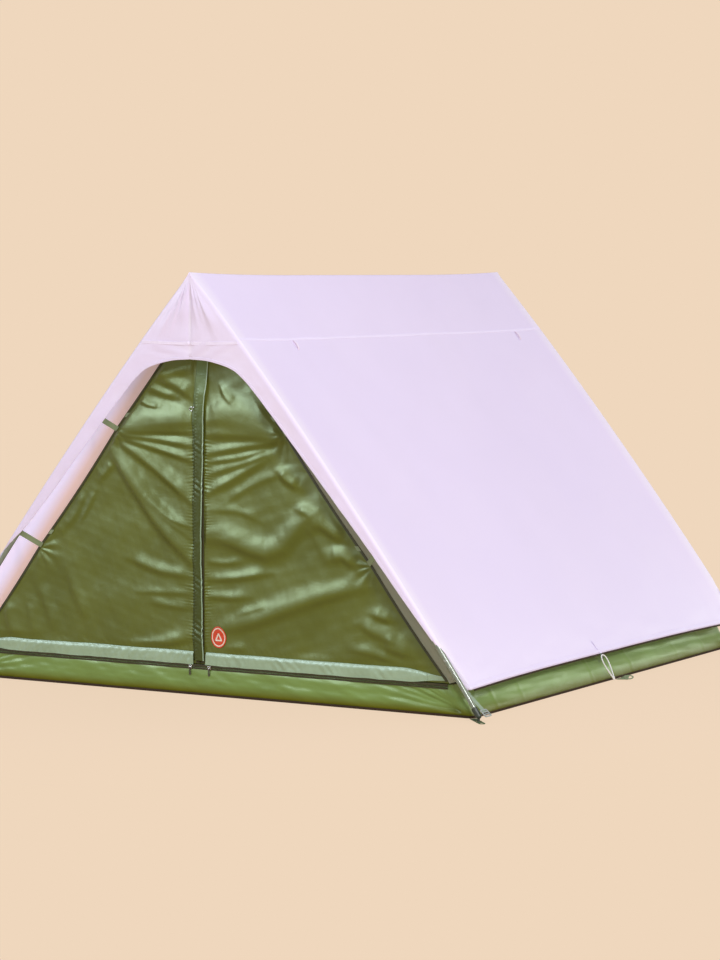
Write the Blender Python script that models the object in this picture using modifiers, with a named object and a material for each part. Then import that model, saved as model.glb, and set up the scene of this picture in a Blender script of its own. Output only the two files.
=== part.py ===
"""A-frame ridge tent for two sleepers: corded tube frame, hung inner tent with a bathtub floor and an
inverted-T zip door, and a separate fly sheet. Metres, +Z up. The origin is the centre of the floor on
the ground, the door faces -Y and +X is on the right as one faces the door."""

import math

import bmesh
import bpy
from mathutils import Matrix, Vector

# ---------------------------------------------------------------- driving dimensions (metres)
LEG_Y = 1.035                # each A-frame stands this far in front of or behind the centre
# (x, z) of a leg's centre line: foot, two pulls that set its bow, apex
LEG_CURVE = ((1.025, 0.018), (0.845, 0.290), (0.350, 0.940), (0.0, 1.327))
LEG_FOOT_X = LEG_CURVE[0][0]
APEX_Z = LEG_CURVE[-1][1]
RIDGE_Z = 1.3185             # centre of the ridge pole

INNER_Y = 0.988              # front and rear panels of the inner tent
FRONT_Y = -INNER_Y
INNER_HALF = 0.980           # half width of the floor
INNER_SLOPE = 0.784          # how much narrower each side is per metre of height
INNER_APEX = 1.249
CLOTH = 0.0012               # thickness that stands for a coated cloth layer
TAPE = 0.0012                # webbing along the inner tent's ridge
STRAP = 0.0016               # webbing on the ground
SEAM_Z = 0.1015              # lower edge of everything sewn to the tub
ZIP_TOP = 0.955

SIDES = (("left", -1), ("right", 1))
ENDS = (("front", -1), ("rear", 1))
CORNERS = [(f"{end_name}_{side_name}", side, end)
           for end_name, end in ENDS for side_name, side in SIDES]

RIGHT = Vector((1, 0, 0))
BACK = Vector((0, 1, 0))
UP = Vector((0, 0, 1))

for old in list(bpy.data.objects):
    bpy.data.objects.remove(old, do_unlink=True)

tent = bpy.data.collections.new("a_frame_tent")
tools = bpy.data.collections.new("boolean_operands")
for group in (tent, tools):
    bpy.context.scene.collection.children.link(group)


# ---------------------------------------------------------------- materials
def material(name, colour, roughness, metallic=0.0):
    made = bpy.data.materials.new(name)
    made.use_nodes = True
    shader = made.node_tree.nodes["Principled BSDF"]
    shader.inputs["Base Color"].default_value = (*colour, 1.0)
    shader.inputs["Roughness"].default_value = roughness
    shader.inputs["Metallic"].default_value = metallic
    return made


FLY = material("fly_polyester", colour=(0.84, 0.75, 0.93), roughness=0.5)
INNER = material("inner_coated_nylon", colour=(0.16, 0.20, 0.05), roughness=0.38)
INNER_LIGHT = material("flap_coated_nylon", colour=(0.33, 0.42, 0.22), roughness=0.35)
FLOOR = material("floor_coated_cloth", colour=(0.22, 0.31, 0.06), roughness=0.4)
WEBBING = material("green_webbing", colour=(0.05, 0.09, 0.03), roughness=0.8)
ZIP = material("zip_tape", colour=(0.05, 0.035, 0.015), roughness=0.7)
ALU = material("anodised_tube", colour=(0.62, 0.66, 0.58), roughness=0.3, metallic=0.9)
PLASTIC = material("grey_plastic", colour=(0.11, 0.12, 0.11), roughness=0.5)
STEEL = material("nickel_plate", colour=(0.72, 0.72, 0.70), roughness=0.25, metallic=1.0)
ELASTIC = material("white_elastic", colour=(0.82, 0.82, 0.80), roughness=0.7)


# ---------------------------------------------------------------- placing
def joint_empty(name, at, parent=None):
    """An empty on a joint's axis, which the moving pieces hang on."""
    empty = bpy.data.objects.new(name, None)
    empty.empty_display_size = 0.05
    tent.objects.link(empty)
    here = Vector(at)
    empty["at"] = here
    if parent:
        empty.parent = parent
        here = here - Vector(parent["at"])
    empty.location = here
    return empty


def put(obj, name, mat, matrix=None, parent=None):
    """Name a piece, give it its material and its place, and hang it on its joint's empty."""
    obj.name = name
    obj.data.name = name
    obj.data.materials.clear()
    obj.data.materials.append(mat)
    for group in list(obj.users_collection):
        group.objects.unlink(obj)
    tent.objects.link(obj)
    place = matrix.copy() if matrix else obj.matrix_basis.copy()
    if parent:
        obj.parent = parent
        place = Matrix.Translation(-Vector(parent["at"])) @ place
    obj.matrix_basis = place
    return obj


def basis(origin, x_axis, y_axis):
    """A frame with local X along x_axis and local Y as near y_axis as a right angle allows."""
    x_axis = Vector(x_axis).normalized()
    z_axis = x_axis.cross(Vector(y_axis).normalized()).normalized()
    frame = Matrix.Identity(4)
    for column, axis in enumerate((x_axis, z_axis.cross(x_axis), z_axis)):
        frame.col[column][:3] = axis
    frame.translation = Vector(origin)
    return frame


def upright(y, x=0, z=0):
    """Upright drawing plane: local X to the right, local Y up, local Z towards the front."""
    return basis((x, y, z), RIGHT, UP)


# ---------------------------------------------------------------- flat outlines
def arc(centre_x, centre_y, radius, start, end, steps):
    """Points of an arc between two angles in degrees."""
    angles = [math.radians(start + (end - start) * i / steps) for i in range(steps + 1)]
    return [(centre_x + radius * math.cos(angle), centre_y + radius * math.sin(angle))
            for angle in angles]


def ellipse(centre_x, radius_x, radius_y, count):
    angles = [2 * math.pi * i / count for i in range(count)]
    return [(centre_x + radius_x * math.cos(angle), radius_y * math.sin(angle))
            for angle in angles]


def rectangle(x0, x1, y0, y1):
    return [(x0, y0), (x1, y0), (x1, y1), (x0, y1)]


def round_tab(length, half_width):
    """A strap from local x = 0 with a round end centred at x = length."""
    return [(0, -half_width)] + arc(length, 0, half_width, -90, 90, 8) + [(0, half_width)]


def wrap(outer, bore, half_tail, heading, tail_end):
    """Webbing round a pole: a ring that opens at the angle heading into a flat tail, and its hole."""
    opening = math.degrees(math.asin(half_tail / outer))
    ring = arc(0, 0, outer, heading + opening, heading + 360 - opening, 20)
    return [ring + tail_end, ellipse(0, bore, bore, 20)]


def mirrored(points):
    return [(-x, z) for x, z in reversed(points)]


# ---------------------------------------------------------------- making solids
def outline(name, loops, thickness):
    """A flat shape: a filled 2D curve, centred on its plane. Later loops are holes."""
    curve = bpy.data.curves.new(name, "CURVE")
    curve.dimensions = "2D"
    curve.fill_mode = "BOTH"
    curve.extrude = thickness / 2
    for loop in loops:
        spline = curve.splines.new("POLY")
        spline.points.add(len(loop) - 1)
        for point, (x, y) in zip(spline.points, loop):
            point.co = (x, y, 0, 1)
        spline.use_cyclic_u = True
    obj = bpy.data.objects.new(name, curve)
    tent.objects.link(obj)
    return obj


def cloth(name, loop, matrix, mat, parent=None, thickness=CLOTH):
    return put(outline(name, [loop], thickness), name, mat, matrix, parent)


def mesh_outline(name, loops, thickness, matrix):
    """An outline in place as a mesh with welded caps, so that Booleans can use it."""
    flat = outline(name, loops, thickness)
    flat.matrix_world = matrix
    bpy.context.view_layer.update()
    graph = bpy.context.evaluated_depsgraph_get()
    mesh = bpy.data.meshes.new_from_object(flat.evaluated_get(graph))
    work = bmesh.new()
    work.from_mesh(mesh)
    bmesh.ops.remove_doubles(work, verts=work.verts, dist=0.00002)
    bmesh.ops.recalc_face_normals(work, faces=work.faces)
    work.to_mesh(mesh)
    work.free()
    solid = bpy.data.objects.new(flat.name + "_mesh", mesh)
    solid.matrix_world = flat.matrix_world
    tent.objects.link(solid)
    bpy.data.objects.remove(flat, do_unlink=True)
    return solid


def thicken(obj, name, thickness, offset=-1.0, even=True):
    skin = obj.modifiers.new(name, "SOLIDIFY")
    skin.thickness = thickness
    skin.offset = offset
    skin.use_even_offset = even


def tube(name, points, radius, mat, wall=None, scale=None, bevel_steps=4, parent=None,
         cyclic=False):
    """A pole or cord: a curve with a round bevel. With a wall it is an open pipe."""
    curve = bpy.data.curves.new(name, "CURVE")
    curve.dimensions = "3D"
    curve.bevel_depth = radius
    curve.bevel_resolution = bevel_steps
    curve.use_fill_caps = wall is None and not cyclic
    spline = curve.splines.new("POLY")
    spline.points.add(len(points) - 1)
    for i, place in enumerate(points):
        spline.points[i].co = (*place, 1)
        spline.points[i].radius = scale[i] if scale else 1.0
    spline.use_cyclic_u = cyclic
    spline.use_smooth = True
    obj = bpy.data.objects.new(name, curve)
    tent.objects.link(obj)
    if wall:
        thicken(obj, "wall", wall)
    return put(obj, name, mat, None, parent)


def mesh_object(name, work):
    """Turn a finished bmesh into an object."""
    mesh = bpy.data.meshes.new(name)
    work.to_mesh(mesh)
    work.free()
    obj = bpy.data.objects.new(name, mesh)
    tent.objects.link(obj)
    return obj


def rod(name, start, end, radius, sides=12, phase=0.0):
    """A straight solid cylinder between two points."""
    start, end = Vector(start), Vector(end)
    work = bmesh.new()
    bmesh.ops.create_cone(work, cap_ends=True, segments=sides, radius1=radius, radius2=radius,
                          depth=(end - start).length)
    obj = mesh_object(name, work)
    turn = (end - start).to_track_quat("Z", "Y").to_matrix().to_4x4()
    spin = Matrix.Rotation(phase, 4, "Z")
    obj.matrix_world = Matrix.Translation((start + end) / 2) @ turn @ spin
    return obj


def ball(name, at, radius):
    work = bmesh.new()
    bmesh.ops.create_uvsphere(work, u_segments=12, v_segments=8, radius=radius)
    obj = mesh_object(name, work)
    obj.matrix_world = Matrix.Translation(at)
    return obj


def join(base, others, operation="UNION"):
    """Fuse shapes into one solid, or cut them away."""
    for other in others:
        for group in list(other.users_collection):
            group.objects.unlink(other)
        tools.objects.link(other)
        other.hide_render = True
        other.display_type = "WIRE"
        step = base.modifiers.new(operation.lower(), "BOOLEAN")
        step.operation = operation
        step.object = other
        step.solver = "EXACT"


# ---------------------------------------------------------------- shared geometry
def leg(share):
    """Centre line of the right-hand leg as (x, z): foot at 0, apex at 1, bowed outwards."""
    rest = 1 - share
    weights = (rest ** 3, 3 * share * rest ** 2, 3 * share * share * rest, share ** 3)
    return tuple(sum(weight * point[axis] for weight, point in zip(weights, LEG_CURVE))
                 for axis in (0, 1))


def leg_x(z):
    """Half distance between the legs at a height, found by bisection."""
    low, high = 0.0, 1.0
    for _ in range(40):
        middle = (low + high) / 2
        if leg(middle)[1] < z:
            low = middle
        else:
            high = middle
    return leg(low)[0]


def inner_x(z):
    """Half width of the inner tent at a height."""
    return INNER_HALF - INNER_SLOPE * z


# ---------------------------------------------------------------- frame
TUBE_R = 0.0080              # pole tubes: outer radius, wall, and the swaged ends that slip inside
TUBE_WALL = 0.0008
SWAGE = 0.0066 / TUBE_R      # a swaged end's radius as a share of the tube's
SWAGE_LENGTH = 0.068         # of the upper leg
SPIGOT_R = 0.0062            # plugs of the hubs and the feet
HUB_R = 0.0079
HUB_REACH = 0.0225           # from the hub's centre to where each tube starts
HUB_COLLAR = 0.0220          # collars and plugs run this far from the hub's centre
HUB_PLUG = 0.085
PLUG_ROOT = 0.010            # where a plug starts, inside its collar
HUB_BORE_R = 0.0030
CORD_R = 0.0013
LEG_CORD_START = 0.0570      # distances along the leg from its foot point
LEG_TUBE_START = 0.0290
LEG_STATIONS = (0, .1, .2, .3, .4, .45, .5, .6, .7, .8, .9)    # shares of the leg's curve
RIDGE_JOINT_Y = 0.3450       # where the outer ridge tubes end


def leg_knots(side, end):
    """Points of a leg's centre line by station."""
    knots = {}
    for share in LEG_STATIONS:
        x, z = leg(share)
        knots[share] = Vector((side * x, end * LEG_Y, z))
    return knots


def leg_tubes(where, knots, hub_end):
    foot, joint = knots[0], knots[.5]
    up = (knots[.1] - foot).normalized()
    middle = (joint - knots[.45]).normalized()
    upper = (knots[.6] - joint).normalized()
    tube(f"leg_lower_{where}",
         [foot + up * LEG_TUBE_START, knots[.1], knots[.2], knots[.3], knots[.4], knots[.45],
          joint - middle * 0.0003],
         TUBE_R, ALU, wall=TUBE_WALL)
    tube(f"leg_upper_{where}",
         [joint - middle * SWAGE_LENGTH, joint, joint + upper * 0.0004, joint + upper * 0.0012,
          knots[.6], knots[.7], knots[.8], knots[.9], hub_end],
         TUBE_R, ALU, wall=TUBE_WALL, scale=[SWAGE] * 3 + [1] * 6)


def pole_foot(where, knots):
    """A cap under the tube, a plug inside it, and a pin down into the floor corner's eyelet."""
    foot = knots[0]
    up = (knots[.1] - foot).normalized()
    cap = rod("foot_cap", foot - up * 0.002, foot + up * 0.0284, radius=0.0096)
    join(cap, [rod(f"foot_plug_{where}", foot + up * 0.02, foot + up * 0.055, SPIGOT_R, sides=10),
               rod(f"foot_pin_{where}", (foot.x, foot.y, 0.0003), (foot.x, foot.y, 0.022),
                   radius=0.0042, sides=10),
               ball(f"foot_heel_{where}", foot, radius=0.0088)])
    put(cap, f"pole_foot_{where}", PLASTIC)


def apex_hub(end_name, end, apex, arms):
    """Three collared plugs, two for the legs and one for the ridge pole, bored for the legs' cord."""
    hub = ball("hub", apex, HUB_R)
    inward = Vector((0, -end, 0))
    root = Vector((0, end * LEG_Y, RIDGE_Z))
    pieces = []
    for i, down in enumerate(arms):
        pieces += [rod(f"hub_collar_{end_name}_{i}", apex, apex + down * HUB_COLLAR, HUB_R),
                   rod(f"hub_plug_{end_name}_{i}", apex + down * PLUG_ROOT,
                       apex + down * HUB_PLUG, SPIGOT_R)]
    pieces += [rod(f"hub_ridge_collar_{end_name}", root - inward * 0.004,
                   root + inward * HUB_COLLAR, HUB_R),
               rod(f"hub_ridge_plug_{end_name}", root + inward * PLUG_ROOT,
                   root + inward * HUB_PLUG, SPIGOT_R)]
    join(hub, pieces)
    join(hub, [rod(f"hub_bore_{end_name}_{i}", apex - down * 0.0045,
                   apex + down * (HUB_PLUG + 0.01), HUB_BORE_R, sides=8)
               for i, down in enumerate(arms)], "DIFFERENCE")
    put(hub, f"apex_hub_{end_name}", PLASTIC)


def leg_cord(end_name, left, apex, right):
    """One elastic cord runs from foot to foot through both legs and the hub."""
    paths = []
    for knots in (left, right):
        path = list(knots.values())
        path[0] = path[0] + (path[1] - path[0]).normalized() * LEG_CORD_START
        paths.append(path)
    tube(f"leg_cord_{end_name}", paths[0] + [apex] + paths[1][::-1], CORD_R, ELASTIC,
         bevel_steps=1)


def ridge_tube(name, stations, **options):
    tube(name, [(0, y, RIDGE_Z) for y in stations], TUBE_R, ALU, wall=TUBE_WALL, **options)


def ridge_pole():
    pole_end = LEG_Y - HUB_REACH
    ridge_tube("ridge_pole_front", (-pole_end, -RIDGE_JOINT_Y))
    ridge_tube("ridge_pole_rear", (RIDGE_JOINT_Y, pole_end))
    ridge_tube("ridge_pole_middle", (-0.405, -0.3447, -0.3440, 0.3440, 0.3447, 0.405),
               scale=[SWAGE, SWAGE, 1, 1, SWAGE, SWAGE])
    cord_end = LEG_Y - HUB_PLUG - 0.001
    tube("ridge_cord", [(0, y, RIDGE_Z) for y in (-cord_end, 0, cord_end)], CORD_R, ELASTIC,
         bevel_steps=1)


for end_name, end in ENDS:
    apex = Vector((0, end * LEG_Y, APEX_Z))
    arms = []
    both_legs = []
    for side_name, side in SIDES:
        where = f"{end_name}_{side_name}"
        knots = leg_knots(side, end)
        down = (knots[.9] - apex).normalized()
        leg_tubes(where, knots, apex + down * HUB_REACH)
        pole_foot(where, knots)
        arms.append(down)
        both_legs.append(knots)
    apex_hub(end_name, end, apex, arms)
    leg_cord(end_name, both_legs[0], apex, both_legs[1])
ridge_pole()

# ---------------------------------------------------------------- inner tent: floor and walls
TUB_H = 0.098                # bathtub floor's upstand
WALL_TOP = 1.235             # upper edge of the side walls
FOLD_X = 0.880               # where each door's fold line meets the tub
FOLD_Z = 0.100
FOLD_GAP = 0.0012            # square to the fold line
FOLD_RISE = ZIP_TOP - FOLD_Z
FOLD_SLOPE = FOLD_RISE / FOLD_X
# the fold gap measured level
FOLD_SHIFT = FOLD_GAP * math.hypot(FOLD_X, FOLD_RISE) / FOLD_RISE

FLAP_X0, FLAP_X1 = -0.0205, 0.0175   # storm flap over the upright zip
FLAP_Z0, FLAP_Z1 = 0.112, 0.925      # the part that moves with the left door
FLAP_TOP = 1.100                     # above the zip it is sewn down
SEWN_FLAP = 0.0018                   # thickness of the sewn part


def fold_x(z):
    """Half distance between the two fold lines at a height."""
    return (ZIP_TOP - z) / FOLD_SLOPE


def bathtub_floor():
    """An open box of cloth that narrows upwards with the walls."""
    work = bmesh.new()
    bmesh.ops.create_cube(work, size=2.0)
    for vert in work.verts:
        top = vert.co.z > 0
        vert.co.x *= inner_x(TUB_H) if top else INNER_HALF
        vert.co.y *= INNER_Y + CLOTH / 2
        vert.co.z = TUB_H if top else 0.0
    lid = max(work.faces, key=lambda face: face.calc_center_median().z)
    bmesh.ops.delete(work, geom=[lid], context="FACES_ONLY")
    tub = mesh_object("tub", work)
    thicken(tub, "cloth", CLOTH)
    put(tub, "bathtub_floor", FLOOR)


def side_wall(side_name, side):
    low = Vector((side * inner_x(SEAM_Z), 0, SEAM_Z))
    rise = Vector((side * inner_x(WALL_TOP), 0, WALL_TOP)) - low
    half_length = INNER_Y - 0.0015
    cloth(f"inner_side_{side_name}", rectangle(-half_length, half_length, 0, rise.length),
          basis(low, BACK, rise), INNER)


def front_panel():
    """The front wall round the door's opening, with the sewn part of the storm flap on it."""
    opening = (fold_x(SEAM_Z) + FOLD_SHIFT, SEAM_Z)
    corner = (inner_x(SEAM_Z), SEAM_Z)
    tip = (0.0, ZIP_TOP + FOLD_SHIFT * FOLD_SLOPE)
    loop = [tip, opening, corner, (0.0, INNER_APEX)] + mirrored([opening, corner])
    panel = mesh_outline("front_panel", [loop], CLOTH, upright(FRONT_Y))
    sewn = mesh_outline("sewn_flap", [rectangle(FLAP_X0, FLAP_X1, ZIP_TOP + 0.005, FLAP_TOP)],
                        SEWN_FLAP, upright(FRONT_Y - SEWN_FLAP / 2))
    join(panel, [sewn])
    put(panel, "inner_front_panel", INNER)


def rear_panel():
    half_width = inner_x(SEAM_Z)
    cloth("inner_rear_panel", [(-half_width, SEAM_Z), (half_width, SEAM_Z), (0.0, INNER_APEX)],
          upright(INNER_Y), INNER)


bathtub_floor()
for side_name, side in SIDES:
    side_wall(side_name, side)
front_panel()
rear_panel()

# ---------------------------------------------------------------- inner tent: tapes that hang it
RIDGE_TAPE_Z = 1.2390
RIDGE_TAPE_HALF = (0.014, 0.985)     # half width and half length
LOOP_FOOT_Z = 1.2388                 # a ridge loop's lower edge, within the tape
LOOP_Y = (-0.66, 0.0, 0.66)
EDGE_Z = (0.125, 1.02)               # ends of the tapes on the upright edges
EDGE_INSET = (0.013, 0.001)          # the tape's inner and outer edges, in from the wall's
TAB_Z = (0.497, 0.887)               # heights of the tabs that tie the inner tent to each leg


def ridge_tape():
    """Tape along the inner tent's ridge, with three loops over the ridge pole."""
    half_width, half_length = RIDGE_TAPE_HALF
    tape = mesh_outline("ridge_tape",
                        [rectangle(-half_width, half_width, -half_length, half_length)],
                        TAPE, Matrix.Translation((0, 0, RIDGE_TAPE_Z)))
    drop = RIDGE_Z - LOOP_FOOT_Z
    half_tail = 0.0008
    shape = wrap(outer=0.0094, bore=0.00845, half_tail=half_tail, heading=-90,
                 tail_end=[(-half_tail, -drop), (half_tail, -drop)])
    join(tape, [mesh_outline(f"ridge_loop_{i}", shape, 0.020, upright(y, z=RIDGE_Z))
                for i, y in enumerate(LOOP_Y)])
    put(tape, "inner_ridge_tape", WEBBING)


def leg_tab(name, side, end, z):
    """A tab that wraps round the leg and runs square to it to the sewn edge."""
    here = Vector((side * leg_x(z), end * LEG_Y, z))
    along = Vector((side * (leg_x(z + 0.02) - leg_x(z - 0.02)), 0, 0.04)).normalized()
    edge = Vector((side * (inner_x(z) - 0.007), end * (INNER_Y + 0.0022), z))
    reach = edge - here
    reach -= along * reach.dot(along)
    half_tail = 0.0007
    shape = wrap(outer=0.0095, bore=0.0085, half_tail=half_tail, heading=0,
                 tail_end=[(reach.length, -half_tail), (reach.length, half_tail)])
    return mesh_outline(name, shape, 0.018, basis(here, reach, reach.cross(along)))


def edge_tape(where, side, end):
    """Tape along an upright edge, with two tabs round the leg."""
    low, high = EDGE_Z
    inner, outer = EDGE_INSET
    loop = [(side * (inner_x(low) - inner), low), (side * (inner_x(low) - outer), low),
            (side * (inner_x(high) - outer), high), (side * (inner_x(high) - inner), high)]
    strip = mesh_outline(f"edge_{where}", [loop], 0.0014, upright(end * (INNER_Y + 0.0017)))
    join(strip, [leg_tab(f"tab_{where}_{i}", side, end, z) for i, z in enumerate(TAB_Z)])
    put(strip, f"edge_tape_{where}", WEBBING)


ridge_tape()
for where, side, end in CORNERS:
    edge_tape(where, side, end)

# ---------------------------------------------------------------- door: two panels, zips, storm flaps
DOOR_INSET = 0.0008          # from the centre line to each door's upright edge
DOOR_LOW = SEAM_Z + 0.0010
ZIP_TAPE = 0.0010            # thickness
ZIP_TAPE_W = 0.0160          # outer edge of the upright tapes
ZIP_TAPE_Y = FRONT_Y - 0.0016
FLAP_Y = FRONT_Y - 0.0081
LOW_FLAP_TOP = 0.138         # storm flaps over the level zips
LOW_FLAP_Y = FRONT_Y - 0.0036
LOW_FLAP_X0 = {"left": 0.0265, "right": 0.0210}    # their ends next to the upright zip
LOW_FLAP_X1 = 0.815

SLIDER_Y = FRONT_Y - 0.0044
DOOR_SLIDER = (-0.0063, 0.918)       # (x, z) of the upright zip's slider
DOOR_PULL = Vector((-0.0290, FRONT_Y - 0.0046, DOOR_SLIDER[1]))
RING_R = 0.0056
LEVEL_SLIDER_X, LEVEL_SLIDER_Z = 0.036, 0.0905
LEVEL_PULL_Y = FRONT_Y - 0.0072
PULL_HALF = 0.0028           # half width of a pull's upper end
PULL_LENGTH = 0.0230


def door(side_name, side):
    """A door panel with its half of the upright zip's tape and its bottom flap."""
    hinge = joint_empty(f"hinge_door_{side_name}",
                        (side * FOLD_X / 2, FRONT_Y, (ZIP_TOP + FOLD_Z) / 2))
    near = side * DOOR_INSET
    cloth(f"door_{side_name}",
          [(near, DOOR_LOW), (side * (fold_x(DOOR_LOW) - FOLD_SHIFT), DOOR_LOW),
           (near, ZIP_TOP - (DOOR_INSET + FOLD_SHIFT) * FOLD_SLOPE)],
          upright(FRONT_Y), INNER, hinge)
    far = side * ZIP_TAPE_W
    cloth(f"zip_tape_{side_name}",
          [(near, DOOR_LOW), (far, DOOR_LOW), (far, 0.930), (near, 0.940)],
          upright(ZIP_TAPE_Y), ZIP, hinge, ZIP_TAPE)
    lift = joint_empty(f"hinge_bottom_flap_{side_name}", (side * 0.43, LOW_FLAP_Y, LOW_FLAP_TOP),
                       hinge)
    cloth(f"bottom_flap_{side_name}",
          rectangle(side * LOW_FLAP_X0[side_name], side * LOW_FLAP_X1, DOOR_LOW, LOW_FLAP_TOP),
          upright(LOW_FLAP_Y), INNER_LIGHT, lift)
    return hinge


def storm_flap(door_hinge):
    hinge = joint_empty("hinge_storm_flap", (FLAP_X0, FLAP_Y, (FLAP_Z0 + FLAP_Z1) / 2), door_hinge)
    cloth("storm_flap", rectangle(FLAP_X0, FLAP_X1, FLAP_Z0, FLAP_Z1), upright(FLAP_Y), INNER,
          hinge)


def slider(name, x, z, size, parent):
    """A zip slider's body: a block that is narrower below, with its edges rounded over."""
    work = bmesh.new()
    bmesh.ops.create_cube(work, size=1.0)
    for vert in work.verts:
        narrow = 0.72 if vert.co.z < 0 else 1.0
        vert.co.x *= size[0] * narrow
        vert.co.y *= size[1]
        vert.co.z *= size[2]
    obj = mesh_object(name, work)
    obj.location = (x, SLIDER_Y, z)
    edge = obj.modifiers.new("round", "BEVEL")
    edge.width = 0.0008
    edge.segments = 2
    put(obj, name, STEEL, None, parent)


def door_zip(door_hinge):
    """Upright zip, closed at the top: its slider runs down to open it; its ring is beside the flap."""
    x, z = DOOR_SLIDER
    ride = joint_empty("slide_zip_door", (x, SLIDER_Y, z), door_hinge)
    slider("zip_slider_door", x, z, size=(0.0108, 0.0034, 0.0130), parent=ride)
    pull_hinge = joint_empty("hinge_zip_pull_door", DOOR_PULL, ride)
    bpy.ops.mesh.primitive_torus_add(major_segments=16, minor_segments=6,
                                     major_radius=RING_R, minor_radius=0.0010,
                                     location=DOOR_PULL - UP * RING_R,
                                     rotation=(math.radians(90), 0, 0))
    ring = bpy.context.object
    join(ring, [rod("pull_axle", (-0.0123, DOOR_PULL.y, z), (-0.0300, DOOR_PULL.y, z),
                    radius=0.0009, sides=8, phase=0.2)])
    ring.data.shade_smooth()
    ring.data.set_sharp_from_angle(angle=math.radians(35))
    put(ring, "zip_pull_door", STEEL, None, pull_hinge)


def level_zip(side_name, side):
    """Slider of a level zip; both meet near the middle when the door is shut."""
    x, z = side * LEVEL_SLIDER_X, LEVEL_SLIDER_Z
    ride = joint_empty(f"slide_zip_{side_name}", (x, SLIDER_Y, z))
    slider(f"zip_slider_{side_name}", x, z, size=(0.0110, 0.0034, 0.0120), parent=ride)
    pull_hinge = joint_empty(f"hinge_zip_pull_{side_name}", (x, LEVEL_PULL_Y, z), ride)
    # the tongue hangs from an axle close under its top edge
    shape = (arc(0, -0.0024, PULL_HALF, 0, 180, 8)
             + arc(0, -PULL_LENGTH, PULL_HALF * 1.25, 180, 360, 8))
    slot_half = PULL_HALF * 0.45
    slot = rectangle(-slot_half, slot_half, -PULL_LENGTH + 0.004, -0.009)
    put(outline(f"pull_{side_name}", [shape, slot], 0.0012), f"zip_pull_{side_name}", STEEL,
        upright(LEVEL_PULL_Y, x, z), pull_hinge)


door_hinges = {side_name: door(side_name, side) for side_name, side in SIDES}
cloth("bottom_zip_tape", rectangle(-0.862, 0.862, 0.0862, 0.0975), upright(ZIP_TAPE_Y), ZIP,
      thickness=ZIP_TAPE)
storm_flap(door_hinges["left"])
door_zip(door_hinges["left"])
for side_name, side in SIDES:
    level_zip(side_name, side)

# ---------------------------------------------------------------- ground fixings
STRAP_Z = 0.0012             # middle of the webbing that lies on the ground
# (radius, z) round the section of an eyelet: a barrel with a flange above the webbing
EYELET_PROFILE = (
    (0.0098, 0.0033), (0.0098, 0.0024), (0.0070, 0.0023),
    (0.0070, 0.0004), (0.0052, 0.0004), (0.0052, 0.0033),
)


def corner_strap(where, side, end):
    """Strap from a floor corner out past the pole's foot, holed for the eyelet and for a peg."""
    corner = Vector((side * (INNER_HALF + 0.0016), end * (INNER_Y + CLOTH / 2 + 0.0016), STRAP_Z))
    out = Vector((side * LEG_FOOT_X, end * LEG_Y, STRAP_Z)) - corner
    span = out.length
    loops = [round_tab(span + 0.036, half_width=0.010),
             ellipse(span, 0.0074, 0.0074, 12),
             ellipse(span + 0.031, 0.0105, 0.0052, 10)]
    put(outline(f"strap_{where}", loops, STRAP), f"corner_strap_{where}", WEBBING,
        basis(corner, out, UP.cross(out)))


def eyelet(where, side, end):
    """A turned ring under the pole's foot, spun from its profile."""
    count = len(EYELET_PROFILE)
    mesh = bpy.data.meshes.new("eyelet")
    mesh.from_pydata([(radius, 0, z) for radius, z in EYELET_PROFILE],
                     [(i, (i + 1) % count) for i in range(count)], [])
    ring = bpy.data.objects.new("eyelet", mesh)
    turn = ring.modifiers.new("turn", "SCREW")
    turn.steps = turn.render_steps = 16
    turn.use_merge_vertices = True
    turn.merge_threshold = 0.00001
    turn.use_smooth_shade = True
    ring.location = (side * LEG_FOOT_X, end * LEG_Y, 0)
    put(ring, f"eyelet_{where}", STEEL)


def side_peg_tab(side_name, side):
    """Peg tab near the middle of a side, sewn to the floor's edge: it can be lifted."""
    root = (side * (INNER_HALF + 0.0020), 0.015, STRAP_Z)
    hinge = joint_empty(f"hinge_side_tab_{side_name}", root)
    span = 0.052
    loops = [round_tab(span, half_width=0.011), ellipse(span - 0.005, 0.0120, 0.0058, 12)]
    put(outline(f"side_{side_name}", loops, STRAP), f"side_peg_tab_{side_name}", WEBBING,
        basis(root, (side, 0, 0), BACK), hinge)


for where, side, end in CORNERS:
    corner_strap(where, side, end)
    eyelet(where, side, end)
for side_name, side in SIDES:
    side_peg_tab(side_name, side)

# ---------------------------------------------------------------- fly sheet
FLY_GAP = 0.0142             # fly beyond the centre line of a leg, measured level
FLY_HEM_GAP = 0.0085         # the same at the hem
FLY_HALF = 1.0450            # roof panels end here, just behind the gables
FLY_GABLE_Y = 1.0461
FLY_RIDGE_MID, FLY_RIDGE_END = 1.3347, 1.3387
FLY_HEM_X, FLY_HEM_Z = 0.950, 0.090
FLY_HEM_Y = 1.014            # the hem's corners sit just behind the legs
PULL_BACK_Z = 0.25           # below this the roof's ends draw in towards the hem's corners
FLY_SAG = 0.006              # inward sag of the roof half way down
RIDGE_SPLIT = 0.0008         # each roof panel's inner face stops this far from the centre line
# (x, z) along the right half of the gable opening's edge, from its top
ARCH = ((0.0, 1.072), (0.075, 1.066), (0.157, 1.043), (0.206, 1.008),
        (0.257, 0.955), (0.341, 0.859), (0.600, 0.561), (0.770, 0.356))
ARCH_TIP_Z = 0.235
CREASE_Z = (1.25, 1.15, 1.05, 0.95, 0.85, 0.75, 0.65, 0.55, 0.45, 0.35)


def clamp(value):
    return min(1.0, max(0.0, value))


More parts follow.
